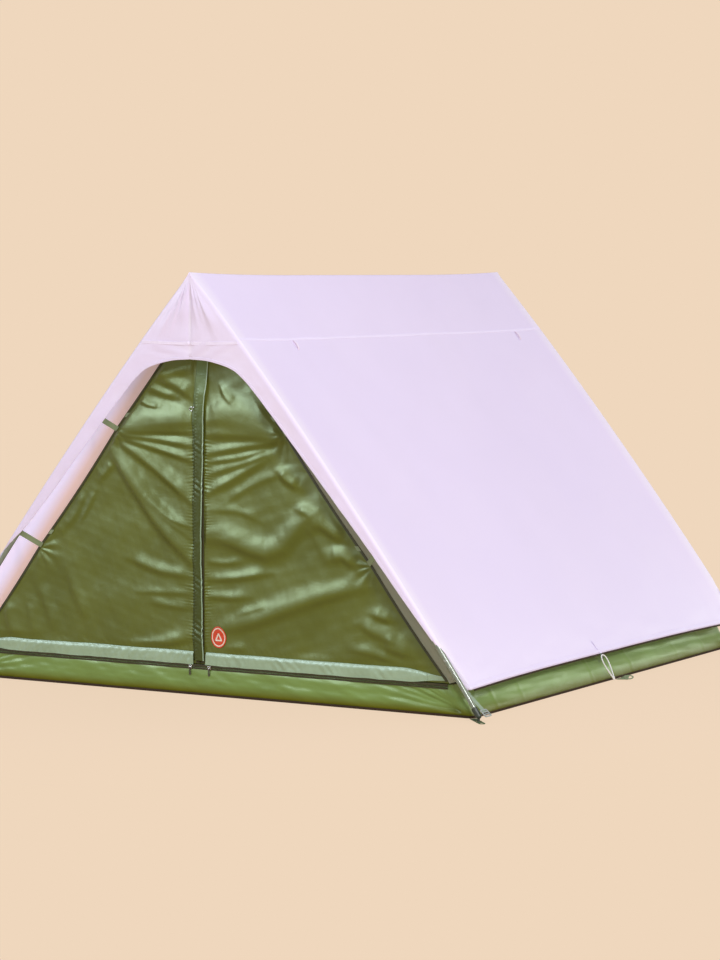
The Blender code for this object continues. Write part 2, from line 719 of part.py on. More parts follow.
def roof_point(along, down, side):
    """A point of the roof's inner face: along runs from the front gable (-1) to the rear (1),
    down from the ridge (0) to the hem (1)."""
    top = FLY_RIDGE_MID + (FLY_RIDGE_END - FLY_RIDGE_MID) * abs(along) ** 3
    z = top + (FLY_HEM_Z - top) * down
    pull_back = clamp((PULL_BACK_Z - z) / (PULL_BACK_Z - FLY_HEM_Z))
    y = along * (FLY_HALF - (FLY_HALF - FLY_HEM_Y) * pull_back ** 1.3)
    if down == 0:
        return Vector((side * RIDGE_SPLIT, y, z))
    straight = FLY_HEM_X * down - FLY_SAG * math.sin(math.pi * down)
    closing = clamp((ARCH_TIP_Z - z) / (ARCH_TIP_Z - FLY_HEM_Z))
    bowed = leg_x(z) + FLY_GAP - (FLY_GAP - FLY_HEM_GAP) * closing
    near_leg = abs(y / FLY_HALF) ** 3
    return Vector((side * (straight + (bowed - straight) * near_leg), y, z))


def fly_roof(side_name, side, parent):
    work = bmesh.new()
    bmesh.ops.create_grid(work, x_segments=10, y_segments=10, size=1.0)
    for vert in work.verts:
        # stations are spread by a power of their distance from the middle
        along = math.copysign(abs(vert.co.x) ** 0.75, vert.co.x)
        vert.co = roof_point(along, round((vert.co.y + 1) / 2, 6), side)
    work.normal_update()
    if sum(face.normal.x for face in work.faces) * side < 0:
        bmesh.ops.reverse_faces(work, faces=work.faces)
    roof = mesh_object("roof", work)
    roof.data.shade_smooth()
    thicken(roof, "cloth", CLOTH, offset=1.0, even=False)
    put(roof, f"fly_roof_{side_name}", FLY, None, parent)


def gable_outline():
    """Outer edge down the right leg, back up the arch, and the same mirrored."""
    tip_x = leg_x(ARCH_TIP_Z)
    right = [(leg_x(z) + FLY_GAP + CLOTH, z) for z in CREASE_Z]
    right += [(tip_x + 0.012, ARCH_TIP_Z), (tip_x + 0.002, ARCH_TIP_Z)]
    right += ARCH[:0:-1]
    return [(0.0, FLY_RIDGE_END + 0.0016)] + right + [ARCH[0]] + mirrored(right)


def side_cord(side_name, side, parent):
    """Elastic loop that holds the hem down near the middle of a side, wider towards the ground."""
    top = Vector((side * 0.9570, -0.035, 0.0850))
    low = Vector((side * 1.0010, -0.035, 0.0070))
    hinge = joint_empty(f"hinge_side_cord_{side_name}", top, parent)
    down = (low - top).normalized()
    span = (low - top).length
    count = 14
    points = []
    for i in range(count):
        angle = 2 * math.pi * i / count
        along = span * (1 - math.cos(angle)) / 2
        wide = 0.0075 * math.sin(angle) * (0.45 + 0.55 * along / span)
        points.append(top + down * along + Vector((0, wide, 0)))
    tube(f"side_cord_{side_name}", points, 0.0014, ELASTIC, bevel_steps=1, parent=hinge,
         cyclic=True)


fly_hinge = joint_empty("slide_fly", (0, 0, FLY_RIDGE_MID))
for side_name, side in SIDES:
    fly_roof(side_name, side, fly_hinge)
for end_name, end in ENDS:
    cloth(f"fly_{end_name}_gable", gable_outline(), upright(end * FLY_GABLE_Y), FLY, fly_hinge)
for side_name, side in SIDES:
    side_cord(side_name, side, fly_hinge)
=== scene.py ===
import bpy
import bmesh
import math
import numpy as np
from mathutils import Vector, Matrix


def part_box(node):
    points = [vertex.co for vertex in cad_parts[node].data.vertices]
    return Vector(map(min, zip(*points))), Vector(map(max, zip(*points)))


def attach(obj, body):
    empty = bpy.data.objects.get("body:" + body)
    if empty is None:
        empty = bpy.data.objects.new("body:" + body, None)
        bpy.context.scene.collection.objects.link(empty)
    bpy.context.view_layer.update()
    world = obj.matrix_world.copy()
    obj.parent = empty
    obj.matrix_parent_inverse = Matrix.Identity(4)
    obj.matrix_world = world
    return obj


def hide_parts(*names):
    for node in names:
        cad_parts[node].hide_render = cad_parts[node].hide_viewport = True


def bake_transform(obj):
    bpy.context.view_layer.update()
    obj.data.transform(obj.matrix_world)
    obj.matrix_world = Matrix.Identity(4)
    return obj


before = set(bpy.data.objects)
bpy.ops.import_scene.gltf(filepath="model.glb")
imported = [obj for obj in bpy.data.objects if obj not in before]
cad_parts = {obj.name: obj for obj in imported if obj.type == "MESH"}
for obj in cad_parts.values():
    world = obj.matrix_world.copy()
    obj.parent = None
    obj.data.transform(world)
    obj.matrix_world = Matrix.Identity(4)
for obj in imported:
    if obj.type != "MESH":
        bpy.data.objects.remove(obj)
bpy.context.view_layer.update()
ROOT = "frame_and_inner"
scene = bpy.context.scene
X_AXIS, Y_AXIS, Z_AXIS = np.eye(3)
TO_FRONT = -Y_AXIS
SIDES = (("left", -1), ("right", 1))
ENDS = (("front", -1), ("rear", 1))

# ------------------------------------------------------------------ dimensions of the CAD frame
LEG_CURVE = ((1.025, 0.018), (0.845, 0.290), (0.350, 0.940), (0.0, 1.327))  # cubic controls: x, z
LEG_Y = 1.035
POLE_Z = 1.3185                 # ridge pole
INNER_Y, INNER_APEX = 0.988, 1.249
FLOOR_X, INNER_LEAN = 0.980, 0.784      # half width at the ground, narrowing per metre of height
SEAM_Z, TUB_TOP = 0.1015, 0.098         # foot of the inner cloth, top of the floor's walls
ZIP_TOP, FOLD_X, FOLD_Z = 0.955, 0.880, 0.100   # each door folds from the zip's top to this corner
FLAP_RIGHT = 0.0175             # storm flap's free edge
TIE_Z = (0.445, 0.842)          # the inner's edges are pulled out here
TAB_Z = (0.497, 0.887)          # tabs round the legs
LOOP_PITCH = 0.66               # loops over the ridge pole
LOOP_Y = (-LOOP_PITCH, 0.0, LOOP_PITCH)
HEM_Z, HEM_X, HEM_Y = 0.090, 0.950, 1.014
EDGE_Y, GABLE_Y = 1.045, LEG_Y + 0.0111     # fly's end edge, and the plane of its gables
TUCK_Z = 0.25                   # the fly's end edges draw in below this
LEG_CLEAR = 0.0152              # from a leg's axis to the fly outside it
STRAIGHT_Z = 1.29               # the gable's sides run straight to the apex above this
TOP_MID, TOP_END = 1.3356, 1.3440       # fly's ridge at its middle and its ends
SLOPE_TOP = 1.336
# the opening in each gable: x, z from the top of the arch down one side
ARCH = ((0.0, 1.072), (0.075, 1.066), (0.157, 1.043), (0.206, 1.008), (0.257, 0.955),
        (0.341, 0.859), (0.600, 0.561), (0.770, 0.356))
TIP_Z = 0.235                   # lower tip of the cloth beside the arch
HIGH_TIP = 0.46                 # the same at the front left, where the sheet hangs back
SIDE_LOOP_Y = -0.035            # elastic loop at the middle of each hem


# ------------------------------------------------------------------ curves and undulation
def leg_at(s):
    s = np.asarray(s, float)[..., None]
    foot, low, high, apex = np.array(LEG_CURVE)
    return (1 - s) ** 3 * foot + 3 * s * (1 - s) ** 2 * low + 3 * s * s * (1 - s) * high + s ** 3 * apex


leg_steps = np.linspace(0, 1, 2001)
leg_points = leg_at(leg_steps)


def leg_x(z):
    return np.interp(z, leg_points[:, 1], leg_points[:, 0])


def leg_step(z):
    return np.interp(z, leg_points[:, 1], leg_steps)


def inner_x(z):
    return FLOOR_X - INNER_LEAN * np.asarray(z, float)


def smooth(start, stop, x):
    """Smooth step from 0 at start to 1 at stop; start may be the larger."""
    t = np.clip((np.asarray(x, float) - start) / (stop - start), 0, 1)
    return t * t * (3 - 2 * t)


def bell(x, centre, width):
    return np.exp(-0.5 * ((np.asarray(x, float) - centre) / width) ** 2)


def waves(seed, x, y, size, octaves=2):
    """Smooth seeded undulation, about -1 to 1."""
    random = np.random.RandomState(seed)
    x, y = np.asarray(x, float), np.asarray(y, float)
    total, strength = np.zeros(np.broadcast(x, y).shape), 1.0
    for octave in range(octaves):
        for _ in range(5):
            heading = random.uniform(0, 2 * math.pi)
            phase = random.uniform(0, 2 * math.pi)
            rate = 2 * math.pi / size * random.uniform(0.7, 1.4) * 2 ** octave
            run = x * math.cos(heading) + y * math.sin(heading)
            total = total + strength * 0.3 * np.sin(rate * run + phase)
        strength *= 0.5
    return total


def unit(v):
    v = np.asarray(v, float)
    return v / np.maximum(np.linalg.norm(v, axis=-1, keepdims=True), 1e-12)


def xyz(x, y, z):
    return np.stack(np.broadcast_arrays(x, y, z), -1)


def slope_of(path):
    return np.gradient(path, axis=0)


def resample(path, count=None, step=None):
    path = np.asarray(path, float)
    reach = np.concatenate([[0], np.cumsum(np.linalg.norm(np.diff(path, axis=0), axis=1))])
    if count is None:
        count = max(2, int(round(reach[-1] / step)) + 1)
    stops = np.linspace(0, reach[-1], count)
    return np.stack([np.interp(stops, reach, column) for column in path.T], 1)


def spline(path, count):
    """Catmull-Rom through the points, evenly resampled."""
    p = np.asarray(path, float)
    p = np.vstack([2 * p[0] - p[1], p, 2 * p[-1] - p[-2]])
    curve = []
    for i in range(1, len(p) - 2):
        for t in np.linspace(0, 1, 20, endpoint=False):
            a, b, c, d = p[i - 1:i + 3]
            curve.append(0.5 * (2 * b + (c - a) * t + (2 * a - 5 * b + 4 * c - d) * t * t
                                + (3 * b - a - 3 * c + d) * t ** 3))
    curve.append(p[-2])
    return resample(curve, count)


# ------------------------------------------------------------------ shader building
class Shader:
    """A node tree being built. An input takes a value, a socket, or a node's first output."""

    def __init__(self, owner):
        owner.use_nodes = True
        self.tree = owner.node_tree
        self.tree.nodes.clear()

    def feed(self, socket, value):
        if isinstance(value, bpy.types.Node):
            value = value.outputs[0]
        if isinstance(value, bpy.types.NodeSocket):
            self.tree.links.new(value, socket)
        elif socket.type == "RGBA":
            socket.default_value = (*value, 1)
        else:
            socket.default_value = value

    def node(self, kind, inputs=None, **settings):
        node = self.tree.nodes.new("ShaderNode" + kind)
        for key, value in settings.items():
            setattr(node, key, value)
        for key, value in (inputs or {}).items():
            self.feed(node.inputs[key], value)
        return node

    def object_place(self):
        return self.node("TexCoord").outputs["Object"]

    def noise(self, where, scale, **inputs):
        return self.node("TexNoise", {"Vector": where, "Scale": scale, **inputs}).outputs["Fac"]

    def math(self, operation, *values):
        return self.node("Math", dict(enumerate(values)), operation=operation)

    def map_range(self, value, source=(0.0, 1.0), target=(0.0, 1.0), **settings):
        return self.node("MapRange", {"Value": value, "From Min": source[0], "From Max": source[1],
                                      "To Min": target[0], "To Max": target[1]}, **settings)

    def mix(self, amount, under, over, **settings):
        return self.node("MixRGB", {0: amount, 1: under, 2: over}, **settings)

    def bump(self, height, distance, strength, **inputs):
        return self.node("Bump", {"Height": height, "Distance": distance, "Strength": strength,
                                  **inputs})

    def ramp(self, source, stops):
        node = self.node("ValToRGB", {0: source})
        elements = node.color_ramp.elements
        while len(elements) > 1:
            elements.remove(elements[-1])
        elements[0].position = stops[0][0]
        elements[0].color = (*stops[0][1], 1)
        for position, colour in stops[1:]:
            elements.new(position).color = (*colour, 1)
        return node


BLACK, WHITE = (0, 0, 0), (1, 1, 1)


def woven_threads(shader, where, thread, ribs):
    """Crossed bands along the three axes; ribs take the stronger band in place of the product."""
    bands = [shader.node("TexWave", {"Vector": where, "Scale": 0.314 / thread, "Distortion": 0.3},
                         wave_type="BANDS", bands_direction=axis).outputs["Fac"] for axis in "XYZ"]
    crossed = shader.math("ADD", bands[0], bands[1])
    return shader.math("MAXIMUM" if ribs else "MULTIPLY", crossed, bands[2])


def painted_crease_highlight(shader, where, colour, highlight_colour):
    """Painted highlight: a paler stripe across the cloth just inside each end, along the crease over
    the legs.
    """
    y = shader.node("SeparateXYZ", {0: where}).outputs[1]
    near_end = shader.map_range(shader.math("ABSOLUTE", y), source=(0.96, 1.06))
    stripe = shader.ramp(near_end, [(0.20, BLACK), (0.68, WHITE), (0.80, WHITE), (0.858, BLACK)])
    return shader.mix(shader.math("MULTIPLY", stripe, 0.40), colour, highlight_colour)


def underside_glow(shader, where, middle, ends, right, strength):
    """Painted light and shade as emission inputs, for light coming through: left half graded from
    salmon shade in the middle to lit lavender at the ends, right half plain shaded grey, dimmer towards
    the top.
    """
    x, y, z = shader.node("SeparateXYZ", {0: where}).outputs
    near_end = shader.map_range(shader.math("ABSOLUTE", y), source=(0.86, 1.04))
    graded = shader.ramp(near_end, [(0.0, middle), (0.20, middle), (0.56, ends)])
    on_right = shader.math("GREATER_THAN", x, 0.0)
    upward = shader.map_range(z, source=(0.72, 1.06), target=(strength, strength * 0.62))
    return {"Emission Color": shader.mix(on_right, graded, right), "Emission Strength": upward}


def fabric(name, light, dark, rough, spec, rough_spread=0.08, tint=None, coat=0.0,
           coat_rough=0.2, drift=7.0, thread=0.0009, thread_depth=0.00004, ribs=False,
           crinkle=0.0, crinkle_scale=None, band_z=None, band_colour=None, band_spec=None,
           crease_highlight_tint=None, glow=None, through=0.0, through_colour=None):
    """Cloth: woven threads, slow colour drift from dark to light, crinkle, coating.

    band_z is a span of height over which the colour and gloss change from the band's to the
    cloth's own; through is the share of light that passes through the cloth.
    """
    material = bpy.data.materials.new(name)
    shader = Shader(material)
    where = shader.object_place()
    colour = shader.ramp(shader.noise(where, drift, Detail=4), [(0.30, dark), (0.70, light)])
    threads = woven_threads(shader, where, thread, ribs)
    thread_tone = shader.ramp(threads, [(0.0, (0.72, 0.72, 0.72)), (1.0, WHITE)])
    colour = shader.mix(0.45 if ribs else 0.12, colour, thread_tone, blend_type="MULTIPLY")
    if band_z:
        height = shader.node("SeparateXYZ", {0: where}).outputs[2]
        above = shader.map_range(height, source=band_z, interpolation_type="SMOOTHSTEP")
        colour = shader.mix(above, band_colour, colour)
    if crease_highlight_tint:
        colour = painted_crease_highlight(shader, where, colour, crease_highlight_tint)
    roughness = shader.map_range(shader.noise(where, drift * 3.1),
                                 target=(rough - rough_spread, rough + rough_spread))
    normal = shader.bump(threads, distance=thread_depth, strength=0.6)
    if crinkle:
        creases = shader.noise(where, crinkle_scale, Detail=7, Distortion=0.8, Roughness=0.60)
        normal = shader.bump(creases, distance=crinkle, strength=1.0, Normal=normal)
    inputs = {"Base Color": colour, "Roughness": roughness, "Specular IOR Level": spec,
              "Coat Weight": coat, "Coat Roughness": coat_rough, "Sheen Roughness": 0.4,
              "Normal": normal}
    if tint:
        inputs["Specular Tint"] = tint
    if glow:
        inputs.update(underside_glow(shader, where, **glow))
    surface = shader.node("BsdfPrincipled", inputs)
    if band_spec is not None:
        shader.feed(surface.inputs["Specular IOR Level"],
                    shader.map_range(above, target=(band_spec, spec)))
    if through:
        passing = shader.node("BsdfTranslucent", {0: through_colour})
        surface = shader.node("MixShader", {0: through, 1: surface, 2: passing})
    shader.node("OutputMaterial", {0: surface})
    return material


def hard(name, colour, rough, metal=0.0, spec=0.5, coat=0.0, grain=(1, 1, 1), wear=None):
    """Metal or moulded plastic: slight mottling, grain along one axis, rubbed spots."""
    material = bpy.data.materials.new(name)
    shader = Shader(material)
    where = shader.object_place()
    stretched = shader.node("Mapping", {0: where, "Scale": grain})
    mottle = shader.noise(stretched, 90, Detail=5)
    dark = tuple(c * 0.82 for c in colour)
    tone = shader.ramp(mottle, [(0.35, dark), (0.65, colour)])
    if wear:
        spots = shader.ramp(shader.noise(where, 35, Detail=6), [(0.66, BLACK), (0.72, WHITE)])
        tone = shader.mix(spots, tone, wear)
    surface = shader.node("BsdfPrincipled", {
        "Base Color": tone, "Metallic": metal, "Specular IOR Level": spec, "Coat Weight": coat,
        "Roughness": shader.map_range(mottle, target=(rough - 0.07, rough + 0.07)),
        "Normal": shader.bump(mottle, distance=0.00006, strength=0.5)})
    shader.node("OutputMaterial", {0: surface})
    return material


# ------------------------------------------------------------------ materials: light, dark, ...
# the paler stripe near each end of the fly is a painted highlight along the crease over the legs
FLY = fabric("fly_outside", (0.860, 0.780, 0.985), (0.845, 0.765, 0.980), rough=0.50, spec=0.35,
             coat=0.20, coat_rough=0.33, crinkle=0.0004, crinkle_scale=22, drift=3.0,
             through=0.06, through_colour=(0.86, 0.76, 0.98), crease_highlight_tint=(1.0, 0.97, 1.0))
# the underside's salmon colour is painted shade, and its glow is painted light and shade
FLY_IN = fabric("fly_underside", (0.86, 0.64, 0.66), (0.83, 0.61, 0.62), rough=0.7, spec=0.2,
                drift=4.0, through=0.30, through_colour=(0.98, 0.70, 0.62),
                glow=dict(middle=(0.574, 0.469, 0.404), ends=(0.57, 0.70, 0.98),
                          right=(0.284, 0.290, 0.247), strength=0.81))
WALL = fabric("wall_cloth", (0.575, 0.675, 0.515), (0.515, 0.61, 0.46), rough=0.6, spec=0.3,
              drift=5.0, crinkle=0.0010, crinkle_scale=20,
              through=0.30, through_colour=(0.66, 0.70, 0.62))
INNER = fabric("inner_cloth", (0.124, 0.143, 0.010), (0.102, 0.117, 0.008), rough=0.43,
               spec=0.85, rough_spread=0.05, tint=(0.80, 1.0, 0.62), drift=5.0,
               crinkle=0.0012, crinkle_scale=15, through=0.04, through_colour=(0.20, 0.24, 0.03))
# painted light: a lighter copy of the inner cloth for the flaps and the storm flap's hem, as they catch
# the light
LIGHT = fabric("flap_cloth", (0.340, 0.475, 0.318), (0.275, 0.385, 0.240), rough=0.38, spec=0.7,
               tint=(0.85, 1.0, 0.92), drift=9.0, crinkle=0.0012, crinkle_scale=34)
STORM = fabric("storm_flap_cloth", (0.140, 0.200, 0.068), (0.100, 0.148, 0.040), rough=0.42,
               spec=0.45, tint=(0.80, 1.0, 0.70), drift=11.0, crinkle=0.0016, crinkle_scale=36,
               band_z=(0.78, 1.02), band_colour=(0.056, 0.070, 0.008))
# the floor cloth's band is painted shade: darker and yellower at the foot of the tub's walls, where
# they turn under, with little gloss there
FLOOR = fabric("floor_cloth", (0.195, 0.315, 0.078), (0.165, 0.265, 0.062), rough=0.40,
               spec=0.55, tint=(0.9, 1.0, 0.70), drift=6.0, crinkle=0.0012, crinkle_scale=18,
               band_z=(0.004, 0.044), band_colour=(0.120, 0.120, 0.003), band_spec=0.05)
WEBBING = dict(spec=0.3, thread=0.0022, thread_depth=0.0003, ribs=True, drift=30)
WEB = fabric("webbing_green", (0.095, 0.150, 0.060), (0.070, 0.115, 0.045), rough=0.75, **WEBBING)
WEB_LIGHT = fabric("webbing_pale", (0.300, 0.390, 0.270), (0.250, 0.330, 0.220), rough=0.7,
                   **WEBBING)
BIND = fabric("edge_binding", (0.060, 0.062, 0.018), (0.045, 0.047, 0.014), rough=0.6, spec=0.3,
              thread=0.0012, thread_depth=0.0001, ribs=True, drift=40)
ZIP = fabric("zip_tape", (0.058, 0.054, 0.014), (0.042, 0.038, 0.010), rough=0.7, spec=0.3,
             thread=0.0010, thread_depth=0.0001, ribs=True, drift=40)
COIL = hard("zip_coil", (0.060, 0.052, 0.018), rough=0.35)
CORD = fabric("elastic_cord", (0.90, 0.91, 0.88), (0.78, 0.79, 0.76), rough=0.7, spec=0.3,
              thread=0.0016, thread_depth=0.0003, ribs=True, drift=80)
THREAD = fabric("thread_green", (0.16, 0.20, 0.07), (0.12, 0.15, 0.05), rough=0.6, spec=0.4,
                thread=0.0006)
THREAD_FLY = fabric("thread_fly", (0.87, 0.79, 0.98), (0.84, 0.76, 0.96), rough=0.6, spec=0.4,
                    thread=0.0006)
TUBE = hard("tube_green_grey", (0.27, 0.32, 0.25), rough=0.30, metal=0.25, spec=0.6, coat=0.4,
            grain=(1, 1, 0.15), wear=(0.42, 0.46, 0.42))
DULL = hard("dull_metal", (0.16, 0.155, 0.12), rough=0.35, metal=0.8)
STEEL = hard("plated_steel", (0.62, 0.62, 0.58), rough=0.22, metal=1.0, wear=(0.45, 0.43, 0.38))
PLASTIC = hard("dark_plastic", (0.045, 0.060, 0.040), rough=0.42, spec=0.45)
BUCKLE = hard("grey_plastic", (0.38, 0.43, 0.40), rough=0.35)
WEB_TAB = fabric("webbing_tabs", (0.245, 0.310, 0.175), (0.200, 0.255, 0.140), rough=0.7,
                 **WEBBING)
SEAM_FLY = fabric("seam_tape", (0.885, 0.815, 0.995), (0.870, 0.800, 0.985), rough=0.5, spec=0.35)
# dark strips that stand in for shadow: painted shadow under the fly's hems and round the floor's foot
DARK_SHADE_STRIP = fabric("painted_shadow_tape", (0.046, 0.024, 0.008), (0.034, 0.018, 0.006), rough=0.7,
                   spec=0.2, thread=0.0012, ribs=True, drift=40)
PATCH_RED = fabric("patch_border", (0.72, 0.075, 0.020), (0.62, 0.055, 0.015), rough=0.65,
                   spec=0.3, thread=0.0012, thread_depth=0.0003, ribs=True, drift=60)
PATCH_PALE = fabric("patch_field", (0.82, 0.72, 0.60), (0.75, 0.64, 0.52), rough=0.7, spec=0.25,
                    thread=0.0012, thread_depth=0.0002, ribs=True, drift=60)
GUY = fabric("guy_loop_tape", (0.90, 0.80, 0.92), (0.84, 0.73, 0.86), rough=0.7, spec=0.3,
             thread=0.0018, thread_depth=0.0002, ribs=True, drift=40)


# ------------------------------------------------------------------ objects
def place(obj, body, stands=()):
    """Tie the object to its body, or for a pair of bodies only bake its placement in, and hide the
    pieces it stands for.
    """
    if isinstance(body, tuple):
        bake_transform(obj)
    else:
        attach(obj, body)
    if stands:
        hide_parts(*stands)


def make(name, verts, faces, materials, weld=0.0, sharp=None):
    mesh = bpy.data.meshes.new(name)
    mesh.from_pydata(np.asarray(verts, float).tolist(), [], faces)
    for material in (materials if isinstance(materials, list) else [materials]):
        mesh.materials.append(material)
    if weld:
        bm = bmesh.new()
        bm.from_mesh(mesh)
        bmesh.ops.remove_doubles(bm, verts=bm.verts, dist=weld)
        bmesh.ops.dissolve_degenerate(bm, edges=bm.edges, dist=weld * 0.5)
        bm.to_mesh(mesh)
        bm.free()
    mesh.update()
    mesh.shade_smooth()
    if sharp:
        mesh.set_sharp_from_angle(angle=math.radians(sharp))
    obj = bpy.data.objects.new(name, mesh)
    scene.collection.objects.link(obj)
    return obj


def face_outwards(obj):
    bm = bmesh.new()
    bm.from_mesh(obj.data)
    bmesh.ops.recalc_face_normals(bm, faces=bm.faces)
    bm.to_mesh(obj.data)
    bm.free()
    return obj


def thicken(obj, thick, offset=0.0):
    modifier = obj.modifiers.new("thickness", "SOLIDIFY")
    modifier.thickness, modifier.offset = thick, offset
    modifier.use_even_offset = False
    return modifier


def grid_faces(rows, columns, wrap=False, close=False, flip=False):
    """Quads of a grid; wrap joins the last column to the first, close the last row."""
    index = np.arange(rows * columns).reshape(rows, columns)
    if wrap:
        index = np.concatenate([index, index[:, :1]], 1)
    if close:
        index = np.concatenate([index, index[:1]], 0)
    corners = (index[:-1, :-1], index[:-1, 1:], index[1:, 1:], index[1:, :-1])
    faces = np.stack([corner.ravel() for corner in corners], 1)
    return (faces[:, ::-1] if flip else faces).tolist()


def cloth(name, grid, material, body, stands=(), thick=0.0007, flip=False, wrap=False,
          weld=0.0):
    """A thin sheet through a grid of points."""
    faces = grid_faces(*grid.shape[:2], wrap=wrap, flip=flip)
    obj = make(name, grid.reshape(-1, 3), faces, material, weld)
    thicken(obj, thick)
    place(obj, body, stands)


def merge(parts):
    verts, faces, base = [], [], 0
    for part_verts, part_faces in parts:
        verts.append(part_verts)
        faces += [[i + base for i in face] for face in part_faces]
        base += len(part_verts)
    return np.concatenate(verts), faces


def solid(name, parts, material, body, stands=(), sharp=50):
    """Closed parts (strips, rods and the like) as one object."""
    obj = face_outwards(make(name, *merge(parts), material, sharp=sharp))
    place(obj, body, stands)


def stitching(name, parts, material, body):
    place(make(name, *merge(parts), material), body)


# ------------------------------------------------------------------ parts: (verts, faces)
def end_caps(rows, columns):
    total = rows * columns
    return [list(range(columns - 1, -1, -1)), list(range(total - columns, total))]


def strip(path, across, normal, width, thick, closed=False):
    """Flat tape along a path, its edges drawn to a ridge."""
    path = np.asarray(path, float)
    across, normal = unit(across), unit(normal)
    half, t = width / 2, thick / 2
    # share of half width, inset and lift in half thicknesses
    profile = ((1, 0, 0), (1, -0.8, 1), (-1, 0.8, 1), (-1, 0, 0), (-1, 0.8, -1), (1, -0.8, -1))
    verts = np.stack([path + across * (a * half + inset * t) + normal * (lift * t)
                      for a, inset, lift in profile], 1)
    faces = grid_faces(len(path), 6, wrap=True, close=closed)
    return verts.reshape(-1, 3), faces + ([] if closed else end_caps(len(path), 6))


def rod(path, radius, segments, closed=False):
    path = np.asarray(path, float)
    if closed:
        tangents = unit(np.roll(path, -1, 0) - np.roll(path, 1, 0))
    else:
        tangents = unit(slope_of(path))
    side = unit(np.cross(tangents[0], Y_AXIS if abs(tangents[0][1]) < 0.8 else X_AXIS))
    sides = []
    for tangent in tangents:      # carried along the path without twist
        side = unit(side - tangent * np.dot(side, tangent))
        sides.append(side)
    sides = np.array(sides)[:, None]
    others = np.cross(tangents, sides[:, 0])[:, None]
    angle = np.linspace(0, 2 * math.pi, segments, endpoint=False)[None, :, None]
    radius = np.broadcast_to(np.asarray(radius, float), (len(path),))[:, None, None]
    verts = path[:, None] + radius * (np.cos(angle) * sides + np.sin(angle) * others)
    faces = grid_faces(len(path), segments, wrap=True, close=closed)
    return verts.reshape(-1, 3), faces + ([] if closed else end_caps(len(path), segments))


def stitches(path, normal):
    """A row of small eight-sided stitches."""
    pitch, length, width, height = 0.0044, 0.0027, 0.0008, 0.0006
    path = resample(path, step=pitch / 2)
    normals = np.atleast_2d(normal)
    tangents = unit(slope_of(path))
    verts, faces = [], []
    for k in range(1, len(path) - 1, 2):
        centre, tangent = path[k], tangents[k]
        up = normals[min(k * len(normals) // len(path), len(normals) - 1)]
        up = unit(up - tangent * np.dot(up, tangent))
        side = np.cross(up, tangent)
        base = len(verts)
        verts += [centre + tangent * length / 2 - up * height * 0.4, centre + side * width / 2,
                  centre - tangent * length / 2 - up * height * 0.4, centre - side * width / 2,
                  centre + up * height, centre - up * height * 0.8]
        faces += [[base + j, base + (j + 1) % 4, base + 4] for j in range(4)]
        faces += [[base + (j + 1) % 4, base + j, base + 5] for j in range(4)]
    return np.array(verts), faces


def coil(path, across, normal):
    """One side of a zip's coil: at every pitch a short bent rod set square to the tape."""
    pitch, width, radius = 0.0021, 0.0021, 0.00036
    path = resample(path, step=pitch)
    verts, faces = [], []
    for point, tangent in zip(path, unit(slope_of(path))):
        base = len(verts)
        for offset, lift in ((-width / 2, 0.0003), (0, 0.0011), (width / 2, 0.0004)):
            c = point + across * offset + normal * lift
            verts += [c + tangent * radius * 1.4, c + normal * radius,
                      c - tangent * radius * 1.4, c - normal * radius]
        for ring in (base, base + 4):
            for j in range(4):
                k = (j + 1) % 4
                faces.append([ring + j, ring + k, ring + 4 + k, ring + 4 + j])
        faces += [[base + 3, base + 2, base + 1, base], [base + 8, base + 9, base + 10, base + 11]]
    return np.array(verts), faces


# ------------------------------------------------------------------ shape of the fly
def tuck(z):
    """Share of its full distance from the middle that the fly's end edge keeps."""
    pull = np.clip((TUCK_Z - np.asarray(z, float)) / (TUCK_Z - HEM_Z), 0, 1)
    return 1 - (1 - HEM_Y / EDGE_Y) * pull ** 1.3


def peak(z):
    return np.clip((TOP_END - z) / (TOP_END - STRAIGHT_Z), 0, 1)


def bowed_x(z):
    """Half width of the roof at a gable, outside the legs."""
    z = np.asarray(z, float)
    low = 0.0094 * np.clip((0.235 - z) / 0.145, 0, 1)
    return np.where(z < STRAIGHT_Z, leg_x(z) + LEG_CLEAR - low,
                    (leg_x(STRAIGHT_Z) + LEG_CLEAR) * peak(z))


def gable_x(z):
    """Half width of the flat part of a gable."""
    return np.where(z < STRAIGHT_Z, leg_x(z), leg_x(STRAIGHT_Z) * peak(z))


def strip_x(z, tip):
    """As gable_x, but below the tip running out to just inside the roof's edge."""
    low = smooth(tip, tip - 0.045, z)
    return gable_x(z) * (1 - low) + (bowed_x(z) - 0.0016) * low


def roof_at(t, v, side=1):
    """Outer face of a slope: t from the front (-1) to the rear (1), v from ridge (0) to hem (1)."""
    top = TOP_MID + (TOP_END - TOP_MID) * np.abs(t) ** 5 - 0.0016 * (1 - t * t)
    top = np.maximum(top, 1.3345)
    z = top + (HEM_Z - top) * v
    drop = top - z
    y = t * LEG_Y * tuck(z)
    slope = (HEM_X + 0.0008) / (SLOPE_TOP - HEM_Z)
    sag = np.sin(math.pi * v) * (0.006 + 0.010 * (1 - t * t))
    x = slope * np.sqrt(drop * drop + 0.010 * drop * (1 - v) ** 2) - sag
    x = x + 0.0035 * bell(v, 0.085, 0.05) * (1 - t ** 6)
    x = x + (bowed_x(z) - x) * np.abs(t) ** 3.2
    calm = (1 - np.abs(t) ** 8) * smooth(0.0, 0.05, v) * smooth(1.0, 0.93, v)
    ripple = (0.0016 * waves(11, y, z, size=0.55) + 0.0006 * waves(12, y, z * 0.4, size=0.16)) * calm
    ripple = ripple + 0.0010 * waves(13, y, z, size=0.07) * bell(v, 0.97, 0.03)
    return xyz(side * (x + 0.79 * ripple), y, z + 0.61 * ripple * 0.6)


